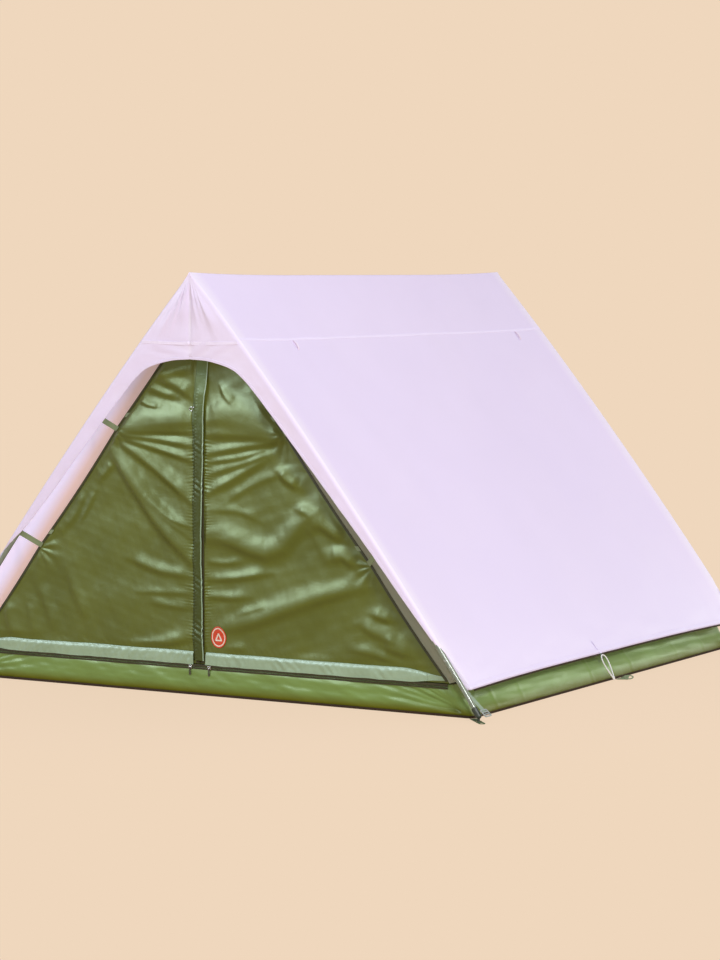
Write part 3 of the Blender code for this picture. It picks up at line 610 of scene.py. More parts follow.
def crease_at(angle, side, end, z, tip):
    """Arc over a leg, from the gable's plane (0 degrees) to the roof (90)."""
    a = math.radians(angle)
    low = smooth(tip, tip - 0.045, z)       # the rounding turns into a plain edge
    flat = strip_x(z, tip)
    y = end * (LEG_Y + (GABLE_Y - LEG_Y) * math.cos(a) * (1 - 0.9 * low)) * tuck(z)
    return xyz(side * (flat + (bowed_x(z) - flat) * math.sin(a)), y, z)


# pleats from the apex: degrees from straight down, width in degrees, height, length
PLEATS = ((-22, 1.7, 0.0085, 0.25), (-28, 1.4, 0.0060, 0.30), (-8, 1.2, 0.0050, 0.22),
          (-13, 2.0, 0.0070, 0.20), (11, 2.0, 0.0066, 0.22), (19, 1.8, 0.0062, 0.19),
          (27, 2.2, 0.0080, 0.27), (-31, 1.6, 0.0045, 0.30), (32, 1.6, 0.0045, 0.26))


def gable_bump(x, z):
    """How far the gable stands out of its plane: pleats, and level folds over the arch."""
    r = np.hypot(x, TOP_END - z)
    angle = np.degrees(np.arctan2(x, np.maximum(TOP_END - z, 1e-4)))
    middle = np.exp(-((x - 0.001) / 0.0042) ** 2)
    h = -0.0062 * middle * smooth(0.02, 0.10, r) * smooth(0.30, 0.16, r)
    for centre, width, height, length in PLEATS:
        h = h + (height * bell(angle, centre, width) * smooth(0.015, 0.07, r)
                 * smooth(length, length * 0.45, r))
    level = z + 0.008 * np.sin(x * 9 + 0.6) + 0.010 * x
    h = h + (0.0019 * np.sin(2 * math.pi * level / 0.0155) * bell(z, 1.103, 0.016)
             * smooth(0.20, 0.10, np.abs(x)))
    h = h + 0.0012 * waves(21, x, z, size=0.22) + 0.0005 * waves(22, x, z, size=0.07)
    return h * smooth(0, 0.03, gable_x(z) - np.abs(x))


def on_gable(end, x, z, lift, mirror=1):
    return xyz(x, end * (GABLE_Y + gable_bump(x * mirror, z) + lift), z)


def arch_down_to(tip, points):
    return spline([*points, (float(gable_x(tip)) - 0.0005, tip)], 400)


arch = arch_down_to(TIP_Z, ARCH)
arch_high = arch_down_to(HIGH_TIP, ARCH[:-1])


def is_high(side, end):
    return side < 0 and end < 0


def tip_of(side, end):
    return HIGH_TIP if is_high(side, end) else TIP_Z


# rows of the fly from ridge to hem, and stations of its roof from front to rear
v_tip = (TOP_END - TIP_Z) / (TOP_END - HEM_Z)
v_high = (TOP_END - HIGH_TIP) / (TOP_END - HEM_Z)
row_v = np.unique(np.concatenate([
    np.linspace(0, 1, 26) ** 1.6 * 0.10, np.linspace(0.10, v_high, 70),
    np.linspace(v_high, v_tip, 22), np.linspace(v_tip, 1, 16)]))
row_z = TOP_END + (HEM_Z - TOP_END) * row_v
tip_row = int(np.argmin(np.abs(row_v - v_tip)))
high_row = int(np.argmin(np.abs(row_v - v_high)))
near_ends = (1 - np.linspace(0, 1, 16)[::-1] ** 1.6 * 0.16)[:-1]
roof_t = np.unique(np.round(np.concatenate(
    [-near_ends[::-1], np.linspace(-0.84, 0.84, 56), near_ends]), 6))
GABLE_STEPS, CREASE_STEPS = 16, 6


def opening_edge(z, opening, tip):
    """Where each row of the gable starts: the middle line above the arch, then its edge."""
    split_z, arch_top = 1.10, ARCH[0][1]
    middle_z = TOP_END + (arch_top - TOP_END) * np.clip((TOP_END - z) / (TOP_END - split_z), 0, 1)
    i = np.clip((split_z - z) / (split_z - tip), 0, 1) * (len(opening) - 1)
    steps = range(len(opening))
    above = z >= split_z
    return (np.where(above, 0, np.interp(i, steps, opening[:, 0])),
            np.where(above, middle_z, np.interp(i, steps, opening[:, 1])))


def gable_columns(side, end):
    """Half a gable, drawn with x positive, from its opening to the leg."""
    high, tip = is_high(side, end), tip_of(side, end)
    start_x, start_z = opening_edge(row_z, arch_high if high else arch, tip)
    outer_x = strip_x(row_z, tip) if high else gable_x(row_z)
    columns = []
    for k in range(GABLE_STEPS + 1):
        share = k / GABLE_STEPS
        x = start_x + (outer_x - start_x) * share
        z = start_z + (row_z - start_z) * share
        y = end * (GABLE_Y + gable_bump(x * side * (1 if end < 0 else -0.9), z))
        if high:
            y = y + 0.0100 * smooth(tip, tip - 0.045, row_z)
        if k == GABLE_STEPS:
            y = y * tuck(z)
        columns.append(xyz(x, y, z))
    return columns


def fly_half(side):
    """Front gable, roof slope and rear gable of one side as a single grid."""
    def creases(end):
        return [crease_at(90 * k / CREASE_STEPS, 1, end, row_z, tip_of(side, end))
                for k in range(1, CREASE_STEPS + 1)]

    columns = gable_columns(side, -1) + creases(-1)
    columns += [roof_at(t, row_v) for t in roof_t]
    columns += creases(1)[::-1] + gable_columns(side, 1)[::-1]
    grid = np.stack(columns, 1)
    grid[..., 0] *= side
    rows, count = grid.shape[:2]
    faces = []
    for face in grid_faces(rows, count, flip=side > 0):
        lowest = max(i // count for i in face)
        first, last = min(i % count for i in face), max(i % count for i in face)
        on_front, on_rear = first < GABLE_STEPS, last > count - 1 - GABLE_STEPS
        if lowest > tip_row and (on_front or on_rear):
            continue
        if side < 0 and lowest > high_row and on_front:
            continue
        faces.append(face)
    return grid.reshape(-1, 3), faces


def build_fly_sheet():
    fly = make("fly_sheet", *merge([fly_half(-1), fly_half(1)]), [FLY, FLY_IN], weld=0.00025)
    bm = bmesh.new()
    bm.from_mesh(fly.data)
    loose = [vert for vert in bm.verts if not vert.link_faces]
    bmesh.ops.delete(bm, geom=loose, context="VERTS")
    bmesh.ops.recalc_face_normals(bm, faces=bm.faces)
    if sum(face.normal.z * face.calc_area() for face in bm.faces) < 0:
        bmesh.ops.reverse_faces(bm, faces=bm.faces)
    bm.to_mesh(fly.data)
    bm.free()
    fly.data.shade_smooth()
    modifier = thicken(fly, 0.0008, offset=-1.0)
    modifier.material_offset = 1
    modifier.material_offset_rim = 0
    place(fly, "fly",
          ("fly_roof_left", "fly_roof_right", "fly_front_gable", "fly_rear_gable"))


# ------------------------------------------------------------------ fly's hems and seams
def trim_arch(end, hems, threads):
    left = arch_high if end < 0 else arch
    path = resample(np.vstack([left[::-1] * (-1, 1), arch[1:]]), 420)
    tangent = unit(slope_of(path))
    away = np.stack([tangent[:, 1], -tangent[:, 0]], 1)     # away from the opening
    away *= np.sign((away * (path - np.array([0, 0.55]))).sum(1))[:, None]
    middle = path + away * 0.0032
    hems.append(strip(on_gable(end, middle[:, 0], middle[:, 1], lift=-0.0001),
                      xyz(away[:, 0], 0, away[:, 1]), (0, end, 0), width=0.0085, thick=0.0022))
    sewn = path + away * 0.0066
    threads.append(stitches(on_gable(end, sewn[:, 0], sewn[:, 1], lift=0.0008), (0, end, 0)))


def roof_run(side, v, next_v):
    """A line along the slope, the line next to it, the direction across and the normal."""
    t = np.linspace(-0.9985, 0.9985, 320)
    line, beside = roof_at(t, v, side), roof_at(t, next_v, side)
    across = unit(beside - line)
    normal = unit(np.cross(across, slope_of(line)))
    normal *= np.sign(normal[:, :1]) * side
    return t, line, beside, across, normal


def trim_roof(side, hems, tapes, seams, threads):
    t, line, beside, across, normal = roof_run(side, 0.9945, 0.985)
    hems.append(strip(line, across, normal, width=0.012, thick=0.0026))
    # painted shadow: a dark strip inside the hem shows below it, standing in for the hem's shadow on
    # the tub
    low = roof_at(t, 0.9995, side) - normal * 0.0024 - across * 0.0012
    tapes.append(strip(low[4:-4], across[4:-4], normal[4:-4], width=0.0110, thick=0.0014))
    threads.append(stitches(beside + normal * 0.0006 - across * 0.0040, normal))
    t, line, beside, across, normal = roof_run(side, 0.1655, 0.1755)
    seams.append(strip(line, across, normal, width=0.010, thick=0.0012))
    for offset in (-0.0035, 0.0035):
        threads.append(stitches(line + normal * 0.0009 + across * offset, normal))


def low_edge_hem(side, end):
    """Hem of the end edge below the gable, where the sheet is pulled to the floor's corner."""
    tip = tip_of(side, end)
    z = np.linspace(tip + 0.004, HEM_Z + 0.002, 70)
    edge = crease_at(20, side, end, z, tip)
    across = unit(crease_at(75, side, end, z, tip) - edge)
    normal = unit(np.cross(across, slope_of(edge)))
    normal *= np.sign((normal * np.array([side, end, 0.2])).sum(1))[:, None]
    return strip(edge + across * 0.001, across, normal, width=0.0075, thick=0.0022)


def gable_seam(end, seams, threads):
    """The roof's seam carried on across a gable."""
    seam_z = 1.125
    half = float(gable_x(seam_z)) + 0.004
    x = np.linspace(-half, half, 120)
    path = on_gable(end, x, seam_z - 0.004 * (1 - (x / half) ** 2), lift=0.0004, mirror=-end)
    seams.append(strip(path, Z_AXIS, (0, end, 0), width=0.011, thick=0.0016))
    for offset in (-0.0035, 0.0035):
        threads.append(stitches(path + np.array([0, end * 0.0010, offset]), (0, end, 0)))


def build_fly_trim():
    hems, tapes, seams, threads = [], [], [], []
    for _, end in ENDS:
        trim_arch(end, hems, threads)
    for _, side in SIDES:
        trim_roof(side, hems, tapes, seams, threads)
        hems.extend(low_edge_hem(side, end) for _, end in ENDS)
    for _, end in ENDS:
        gable_seam(end, seams, threads)
    solid("fly_hems", hems, FLY, "fly")
    # painted shadow under the hems
    solid("fly_hem_shadow_line", tapes, DARK_SHADE_STRIP, "fly")
    solid("fly_seams", seams, SEAM_FLY, "fly")
    stitching("fly_stitching", threads, THREAD_FLY, "fly")


def build_guy_loops():
    """Loops for guy lines, sewn into the roof's seams."""
    parts = []
    size = dict(width=0.0075, thick=0.0012)
    u = np.linspace(0, math.pi * 2, 40)
    u = u[u < math.pi * 1.02]
    for _, side in SIDES:
        for y in (-0.698, 0.846):
            top, bottom = roof_at(y / LEG_Y, np.array([0.170, 0.192]), side)
            down = unit(bottom - top)
            normal = unit(np.cross(down, Y_AXIS))
            normal *= np.sign(normal[2])
            half = np.linalg.norm(bottom - top) / 2
            loop = ((top + bottom) / 2 + np.outer(np.cos(u) * -half, down)
                    + np.outer(np.clip(np.sin(u), 0, 1) * 0.0050 + 0.0012, normal))
            parts.append(strip(loop, Y_AXIS, np.cross(slope_of(loop), Y_AXIS), **size))
            base = top + np.outer(np.linspace(-0.05, 1.05, 12), bottom - top) + normal * 0.0010
            parts.append(strip(base, Y_AXIS, normal, **size))
    solid("guy_line_loops", parts, GUY, "fly")


# ------------------------------------------------------------------ inner tent: end panels
# tension folds: points (x, z) along each crest, width, strength
LEFT_FOLDS = [
    ([(-0.323, 0.84), (-0.248, 0.868), (-0.133, 0.881), (-0.026, 0.887)], 0.0384, 1.0),
    ([(-0.315, 0.842), (-0.19, 0.844), (-0.022, 0.845)], 0.0144, 0.9),
    ([(-0.315, 0.834), (-0.191, 0.822), (-0.022, 0.801)], 0.0162, 0.9),
    ([(-0.311, 0.825), (-0.191, 0.796), (-0.023, 0.753)], 0.016, 0.9),
    ([(-0.311, 0.815), (-0.21, 0.757), (-0.114, 0.69), (-0.023, 0.623)], 0.0224, 0.8),
    ([(-0.327, 0.782), (-0.238, 0.663), (-0.146, 0.551), (-0.031, 0.441)], 0.0288, 1.1),
    ([(-0.277, 0.71), (-0.153, 0.592), (-0.024, 0.505)], 0.0192, 0.45),
    ([(-0.192, 0.632), (-0.115, 0.571), (-0.023, 0.537)], 0.0128, 0.5),
    ([(-0.27, 0.432), (-0.154, 0.399), (-0.032, 0.386)], 0.0192, 0.6),
    ([(-0.312, 0.131), (-0.194, 0.152), (-0.032, 0.194)], 0.0228, 0.8),
    ([(-0.193, 0.294), (-0.032, 0.281)], 0.016, 0.4),
    ([(-0.24, 0.324), (-0.032, 0.329)], 0.0128, 0.35),
    ([(-0.151, 1.014), (-0.082, 0.993), (-0.025, 0.959)], 0.0224, 0.9),
    ([(-0.205, 0.988), (-0.132, 0.964), (-0.082, 0.955)], 0.0157, 0.7),
    ([(-0.189, 1.026), (-0.151, 1.027), (-0.036, 1.048)], 0.0224, 0.6),
    ([(-0.229, 0.942), (-0.19, 0.927), (-0.152, 0.922)], 0.0128, 0.7),
    ([(-0.387, 0.68), (-0.355, 0.713), (-0.335, 0.733)], 0.0162, 0.5),
    ([(-0.539, 0.511), (-0.487, 0.565), (-0.45, 0.639)], 0.0195, 0.45),
    ([(-0.467, 0.54), (-0.435, 0.59), (-0.407, 0.64)], 0.013, 0.5),
    ([(-0.629, 0.335), (-0.582, 0.239), (-0.566, 0.167)], 0.0264, 0.35),
    ([(-0.508, 0.388), (-0.461, 0.279), (-0.422, 0.216)], 0.0264, 0.3),
    ([(-0.753, 0.262), (-0.737, 0.18), (-0.721, 0.131)], 0.0264, 0.4),
    ([(-0.671, 0.267), (-0.655, 0.202), (-0.647, 0.149)], 0.0201, 0.3),
]
RIGHT_FOLDS = [
    ([(0.031, 0.897), (0.113, 0.903), (0.214, 0.886), (0.28, 0.863)], 0.0441, 1.0),
    ([(0.027, 0.844), (0.151, 0.847), (0.262, 0.842), (0.32, 0.842)], 0.0252, 1.0),
    ([(0.027, 0.777), (0.15, 0.8), (0.284, 0.823), (0.32, 0.833)], 0.0157, 0.8),
    ([(0.027, 0.749), (0.15, 0.768), (0.232, 0.793)], 0.0126, 0.6),
    ([(0.026, 0.711), (0.139, 0.743), (0.261, 0.784)], 0.0158, 0.6),
    ([(0.029, 0.654), (0.132, 0.705), (0.254, 0.772)], 0.0189, 0.8),
    ([(0.094, 0.628), (0.187, 0.682), (0.305, 0.727)], 0.0189, 0.35),
    ([(0.302, 0.73), (0.335, 0.703), (0.371, 0.688)], 0.022, 0.9),
    ([(0.026, 0.52), (0.109, 0.517), (0.187, 0.489), (0.264, 0.477), (0.316, 0.508),
      (0.371, 0.576), (0.425, 0.616)], 0.0347, 0.95),
    ([(0.403, 0.559), (0.443, 0.579), (0.501, 0.551), (0.54, 0.534)], 0.0279, 1.1),
    ([(0.371, 0.614), (0.407, 0.603), (0.429, 0.579)], 0.0155, 0.8),
    ([(0.479, 0.469), (0.533, 0.478), (0.576, 0.449)], 0.0248, 0.9),
    ([(0.025, 0.377), (0.149, 0.39), (0.261, 0.411)], 0.0158, 0.7),
    ([(0.017, 0.325), (0.112, 0.324), (0.186, 0.332)], 0.016, 0.55),
    ([(0.022, 0.434), (0.093, 0.431), (0.149, 0.44)], 0.0128, 0.4),
    ([(0.085, 0.227), (0.186, 0.252), (0.297, 0.294), (0.443, 0.346), (0.597, 0.389)],
     0.0284, 1.0),
    ([(0.149, 0.276), (0.26, 0.31)], 0.0158, 0.3),
    ([(0.636, 0.304), (0.672, 0.294), (0.7, 0.29)], 0.0186, 0.8),
    ([(0.594, 0.271), (0.658, 0.244), (0.728, 0.224)], 0.0248, 0.6),
    ([(0.675, 0.214), (0.728, 0.199), (0.77, 0.19)], 0.0248, 0.8),
    ([(0.569, 0.189), (0.64, 0.181), (0.711, 0.161)], 0.0186, 0.6),
    ([(0.711, 0.136), (0.763, 0.14), (0.816, 0.153)], 0.0186, 0.6),
    ([(0.092, 0.135), (0.141, 0.161), (0.179, 0.157)], 0.0224, 0.5),
    ([(0.084, 0.99), (0.106, 0.959), (0.136, 0.938)], 0.0157, 0.6),
    ([(0.371, 0.639), (0.443, 0.517), (0.479, 0.457)], 0.0217, 0.25),
    ([(0.045, 0.6), (0.15, 0.598), (0.231, 0.57)], 0.0158, 0.3),
]
# the rear panel has the left folds, and most of them again mirrored
REAR_FOLDS = [(crest, width, strength * 0.9) for crest, width, strength in LEFT_FOLDS]
REAR_FOLDS += [([(-x * 0.97, z + 0.012) for x, z in crest], width, strength * 0.8)
               for crest, width, strength in LEFT_FOLDS[:9] + LEFT_FOLDS[15:]]
FRONT_PANELS = {-1: (LEFT_FOLDS, 31), 1: (RIGHT_FOLDS, 57)}     # folds, seed


def folds_height(x, z, folds):
    """Each fold is a crest along a line, with a long upper side and a short lower one."""
    height = np.zeros(x.shape)
    for crest, width, strength in folds:
        crest = spline(crest, 9) if len(crest) > 2 else resample(crest, 3)
        steps = np.diff(crest, axis=0)
        lengths = np.linalg.norm(steps, axis=1)
        starts = np.concatenate([[0], np.cumsum(lengths)])
        nearest = np.full(x.shape, 1e9)
        above, share, beyond = (np.zeros(x.shape) for _ in range(3))
        for i, length in enumerate(lengths):
            along_x, along_z = steps[i] / length
            run = (x - crest[i][0]) * along_x + (z - crest[i][1]) * along_z
            held = np.clip(run, 0, length)
            off_x = x - crest[i][0] - held * along_x
            off_z = z - crest[i][1] - held * along_z
            gap = off_x * off_x + off_z * off_z
            up = -1 if along_x < 0 else 1
            closer = gap < nearest
            nearest = np.where(closer, gap, nearest)
            above = np.where(closer, up * (off_z * along_x - off_x * along_z), above)
            share = np.where(closer, (starts[i] + held) / starts[-1], share)
            beyond = np.where(closer, run - held, beyond)
        q = above + 0.35 * width
        spread = np.where(q > 0, 0.80 * width, 0.42 * width)
        taper = (0.35 + 0.65 * smooth(0, 0.25, share)) * (0.35 + 0.65 * smooth(1.0, 0.75, share))
        height = height + (strength * 0.66 * width * np.exp(-0.5 * (q / spread) ** 2) * taper
                           * np.exp(-0.5 * (beyond / (0.6 * width)) ** 2))
    return height


def scallop(z):
    """How far the edge draws in between its ties."""
    ties = np.array([0.10, *TIE_Z, INNER_APEX])
    z = np.clip(np.asarray(z, float), 0.1001, 1.2489)
    i = np.clip(np.searchsorted(ties, z) - 1, 0, 2)
    return 0.0065 * np.sin(math.pi * (z - ties[i]) / (ties[i + 1] - ties[i]))


def edge_x(z):
    return np.maximum(inner_x(z) - scallop(z), 0.0008)


def tie_puckers(x, z, seed):
    """Short puckers pulled by the ties."""
    total = 0
    for tie_z in TIE_Z:
        tie_x = inner_x(tie_z) * np.sign(np.where(x == 0, 1, x))
        r = np.hypot(x - tie_x, z - tie_z)
        angle = np.arctan2(z - tie_z, np.abs(x - tie_x) + 1e-6)
        total = total + (0.0016 * np.sin(angle * 11 + seed) * smooth(0.004, 0.03, r)
                         * smooth(0.13, 0.03, r))
    return total


def zip_gathers(x, z, seed):
    """Fine level gathers beside the upright zip, and low creases above the level zip."""
    ax = np.abs(x)
    depth = 0.0010 * np.clip(0.75 + 0.8 * waves(seed + 5, 0, z, size=0.10), 0.1, 1.6)
    depth = depth * smooth(0.90, 0.80, z) * smooth(0.14, 0.18, z)
    phase = 2 * math.pi * (z + 0.10 * (ax - 0.02) * np.sign(z - 0.62)) / 0.0105
    phase = phase + 2.6 * waves(seed + 6, 0, z, size=0.08)
    reach = 0.009 + 0.012 * np.clip(waves(seed + 7, 0, z, size=0.05), 0, 1.2)
    gathers = (depth * np.sin(phase) * np.exp(-np.clip(ax - 0.021, 0, 1) / reach)
               * smooth(0.012, 0.021, ax))
    phase = 2 * math.pi * (x + 0.4 * z) / 0.021 + 2 * waves(seed + 8, x, z, size=0.1, octaves=1)
    return gathers + 0.0007 * np.sin(phase) * bell(z, 0.150, 0.008)


def panel_height(x, z, folds, seed, door=True):
    """How far an end panel stands out of its plane."""
    x, z = np.broadcast_arrays(x, z)
    h = folds_height(x, z, folds)
    h = h + 0.0030 * waves(seed, x, z, size=0.30) + 0.0007 * waves(seed + 1, x, z * 0.8, size=0.06)
    h = 0.020 * np.tanh((h + tie_puckers(x, z, seed)) / 0.020)
    h = h * smooth(0.0, 0.030, edge_x(z) - np.abs(x)) * smooth(1.235, 1.12, z)
    if door:
        h = h * smooth(0.016, 0.030, np.abs(x)) * smooth(0.136, 0.165, z)
        return h + zip_gathers(x, z, seed)
    return h * smooth(SEAM_Z, 0.14, z)


def front_height(side, x, z):
    return panel_height(x, z, *FRONT_PANELS[side])


def door_bend(side_name, side):
    """The fixed tent, a door and two points across the line the door folds on; no blend between them is
    applied.
    """
    middle = np.array([side * FOLD_X / 2, -INNER_Y, (ZIP_TOP + FOLD_Z) / 2])
    down = unit((FOLD_X, 0, -(ZIP_TOP - FOLD_Z)))
    to_door = np.array([side * down[2], 0, -down[0]])
    return (ROOT, f"door_{side_name}", tuple(middle - to_door * 0.012),
            tuple(middle + to_door * 0.022))


def build_front_panels():
    rows, columns = ((430, 130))
    z = np.concatenate([np.linspace(SEAM_Z, 0.17, int(rows * 0.08), endpoint=False),
                        np.linspace(0.17, 0.93, int(rows * 0.76), endpoint=False),
                        np.linspace(0.93, INNER_APEX, int(rows * 0.16))])[:, None]
    start = 0.0008 * smooth(0.962, 0.952, z)
    out = start + (edge_x(z) - start) * np.linspace(0, 1, columns) ** 1.25
    for side_name, side in SIDES:
        grid = xyz(side * out, -INNER_Y - front_height(side, side * out, z), z)
        stands = ("door_left",) if side < 0 else ("door_right", "inner_front_panel")
        cloth(f"inner_front_{side_name}", grid, INNER, door_bend(side_name, side),
              stands, flip=side > 0)


def build_rear_panel():
    z = np.linspace(SEAM_Z, INNER_APEX, 260)[:, None]
    x = edge_x(z) * np.linspace(-1, 1, 190)
    grid = xyz(x, INNER_Y + panel_height(x, z, REAR_FOLDS, 83, door=False), z)
    cloth("inner_rear_cloth", grid, INNER, ROOT, ("inner_rear_panel",))


def build_side_walls():
    """Slack cloth hung from the ridge tape's loops."""
    half = 0.9868
    y, z = np.meshgrid(np.linspace(-half, half, 190), np.linspace(SEAM_Z, INNER_APEX - 0.0006, 150))
    for side_name, side in SIDES:
        from_end, fall = half - np.abs(y), INNER_APEX - z
        x = inner_x(z) - scallop(z) * np.exp(-(from_end / 0.045) ** 1.2)
        calm = smooth(0, 0.05, z - SEAM_Z) * smooth(0, 0.05, fall) * smooth(0, 0.05, from_end)
        slack = -0.012 * np.sin(math.pi * (z - SEAM_Z) / (INNER_APEX - SEAM_Z)) * (1 - (y / half) ** 2)
        for loop_y in LOOP_Y:
            r = np.hypot(y - loop_y, fall * 1.27)
            angle = np.arctan2(y - loop_y, fall * 1.27 + 1e-6)
            slack = slack + (0.0040 * np.sin(angle * 9 + loop_y * 3) * smooth(0.02, 0.10, r)
                             * smooth(0.75, 0.12, r))
        slack = slack + 0.0045 * waves(91 + side, y, z * 1.6, size=0.40, octaves=3)
        slack = slack + 0.0016 * waves(95 + side, y * 0.6, z, size=0.10)
        for corner_y in (-0.93, 0.93):
            r = np.hypot(y - corner_y, z - 0.11)
            angle = np.arctan2(z - 0.11, np.abs(y - corner_y) + 1e-6)
            slack = slack + (0.0035 * np.sin(angle * 10) * smooth(0.03, 0.12, r)
                             * smooth(0.6, 0.10, r))
        slack = slack * calm
        grid = xyz(side * (x + 0.787 * slack), y, z + 0.617 * slack)
        cloth(f"inner_wall_{side_name}", grid, WALL, ROOT, (f"inner_side_{side_name}",),
              flip=side < 0)


# ------------------------------------------------------------------ bathtub floor
FLOOR_STEPS = 1400
# creases from each corner: rise per metre, width, depth, reach
CORNER_CREASES = ((0.15, 0.0030, 0.0075, 0.34), (0.27, 0.0030, 0.0060, 0.36),
                  (0.40, 0.0034, 0.0070, 0.28), (0.66, 0.0040, 0.0055, 0.20),
                  (0.95, 0.0060, 0.0030, 0.15), (1.7, 0.008, 0.0026, 0.09))
# upright creases of the long walls: y, height
WALL_CREASES = ((-0.80, 0.0030), (-0.62, 0.0015), (-0.12, 0.0028), (0.03, -0.002),
                (0.18, 0.0024), (0.55, 0.0014), (0.78, 0.0026))


def floor_outline():
    """Rounded rectangle, evenly stepped: x, y and the outward direction's x, y."""
    radius = 0.012
    points = []
    for x, y, start in ((1, -1, -90), (1, 1, 0), (-1, 1, 90), (-1, -1, 180)):
        for angle in np.radians(np.linspace(start, start + 90, 9)):
            out_x, out_y = math.cos(angle), math.sin(angle)
            points.append((x * (FLOOR_X - radius) + radius * out_x,
                           y * (INNER_Y - radius) + radius * out_y, out_x, out_y))
    points = np.array(points + points[:1])
    reach = np.concatenate([[0], np.cumsum(np.hypot(*np.diff(points[:, :2], axis=0).T))])
    stops = np.linspace(0, reach[-1], FLOOR_STEPS, endpoint=False)
    outline = np.stack([np.interp(stops, reach, column) for column in points.T], 1)
    outline[:, 2:] = unit(outline[:, 2:])
    return outline


outline = floor_outline()


def tub_bulge(z):
    """How far the tub's walls stand out, for a column of heights."""
    x, y, out_x, out_y = outline.T
    f = z / TUB_TOP
    arc = np.sin(math.pi * np.clip(f, 0, 1))
    belly = 0.0075 * np.sin(math.pi * np.clip(f * 1.05, 0, 1)) ** 0.8 * (1.25 - 0.6 * f)
    belly = belly - 0.0050 * (1 - f) ** 3
    faces_end = np.abs(out_y) > np.abs(out_x)
    along = np.where(faces_end, x, y)
    from_corner = np.where(faces_end, FLOOR_X, INNER_Y) - np.abs(along)
    on_end = np.where(faces_end, 1.0, 0.0)
    w = 0.0030 * waves(41, x * 2.1 + y * 0.7, z * 7, size=0.55, octaves=3) * arc ** 0.7
    for rise, width, depth, reach in CORNER_CREASES:
        width = width * (1 + 1.2 * (1 - on_end))
        depth = depth * (0.35 + 0.65 * on_end)
        crease = bell(z, 0.014 + from_corner * rise, width + 0.02 * from_corner)
        w = w - (depth * crease * smooth(0.012, 0.045, from_corner)
                 * smooth(reach, reach * 0.4, from_corner) * smooth(0, 0.006, TUB_TOP - z))
    w = w + (0.0012 * np.sin(2 * math.pi * along / 0.19 + 3 * z / TUB_TOP) * np.sin(math.pi * f)
             * smooth(0.05, 0.2, from_corner))
    for crease_y, height in WALL_CREASES:
        crease = bell(along, crease_y + 0.25 * (z - 0.05), 0.007)
        w = w + height * crease * (1 - on_end) * arc ** 0.8
    bulge = (belly + w * smooth(1.0, 0.80, f)) * smooth(0, 0.004, from_corner + 0.004)
    return np.where(z > TUB_TOP - 0.001, 0.0, bulge)


def build_floor_tub():
    """Walls and groundsheet as one sheet, from the top edge down and in to the middle."""
    x, y, out_x, out_y = outline.T
    z = np.concatenate([np.linspace(TUB_TOP, 0.006, 26), [0.0030, 0.0012, 0.0006]])[:, None]
    bulge = tub_bulge(z)
    grid = [xyz(x * inner_x(z) / inner_x(0.0) + out_x * bulge, y + out_y * bulge, z)]
    for share in np.linspace(0.985, 0.0, 41):
        swell = waves(44, x * share, y * share, size=0.30, octaves=3)
        swell = (0.5 + 0.5 * np.clip(swell, -1, 1)) * smooth(1.0, 0.95, share)
        grid.append(xyz(x * share, y * share, 0.0007 + 0.0012 * swell)[None])
    cloth("floor_tub", np.concatenate(grid, 0), FLOOR, ROOT, ("bathtub_floor",),
          thick=0.0006, flip=True, wrap=True, weld=0.00002)


def floor_ring_strip(name, material, narrowing, out, z, width, thick):
    x, y, out_x, out_y = outline[::4].T
    path = xyz(x * narrowing + out_x * out, y + out_y * out, z)
    part = strip(path, Z_AXIS, xyz(out_x, out_y, 0), width, thick, closed=True)
    solid(name, [part], material, ROOT)


def build_floor_bindings():
    floor_ring_strip("floor_top_binding", BIND, narrowing=float(inner_x(TUB_TOP) / inner_x(0.0)),
                  out=0.0004, z=TUB_TOP - 0.001, width=0.0060, thick=0.0022)
    # tape inside, where the rear panel is sewn to the tub
    x = np.linspace(-1, 1, 60) * (float(edge_x(0.1)) - 0.004)
    tape = strip(xyz(x, INNER_Y - 0.0014, 0.1000), Z_AXIS, TO_FRONT, width=0.0100, thick=0.0014)
    solid("floor_rear_seam_tape", [tape], BIND, ROOT)
    # painted contact shadow: a dark strip round the floor's foot stands in for the shadow where the tub
    # meets the ground
    floor_ring_strip("floor_contact_shadow", DARK_SHADE_STRIP, narrowing=1.0, out=0.0010, z=0.0044,
                  width=0.0078, thick=0.0030)


# ------------------------------------------------------------------ flaps over the zips
def storm_flap_grid(z):
    """The flap over the upright zip; it leans to the right and lies flat at its top."""
    left_x = -0.0250
    share, zz = np.meshgrid(np.linspace(0, 1, 18), z)
    right = (FLAP_RIGHT - 0.0095 * bell(z, 0.48, 0.16) - 0.0035 * bell(z, 0.20, 0.05)
             + 0.0007 * waves(61, z, 0, size=0.07))
    left = left_x - 0.0030 * bell(z, 0.20, 0.06) - 0.0015 * bell(z, 0.5, 0.2)
    x = left[:, None] + (right - left)[:, None] * share + 0.018 * smooth(0.88, 1.085, zz)
    base = front_height(-1, left_x, z) + 0.0012
    rise = smooth(0.10, 0.30, share)
    out = base[:, None] * (1 - rise) + 0.0079 * rise
    out = out + rise * (0.0007 * waves(62, x, zz * 0.6, size=0.05)
                        - 0.0012 * smooth(0.75, 1.0, share))
    crumple = (bell(zz, 0.205, 0.022) + 0.8 * bell(zz, 0.665, 0.018) + 0.5 * bell(zz, 0.36, 0.02)
               + 0.4 * bell(zz, 0.79, 0.02))
    out = out + rise * crumple * 0.0016 * np.sin(2 * math.pi * (zz + 0.5 * x) / 0.021)
    # stitched channel
    out = out - (0.0011 * bell(share, 0.34, 0.05)
                 * (1 + 0.4 * np.sin(2 * math.pi * zz / 0.0105)))
    flat = smooth(0.955, 1.00, zz)
    out = out * (1 - flat) + flat * (0.0030 + 0.0006 * np.sin(zz * 90))
    return xyz(x, -INNER_Y - out, zz)


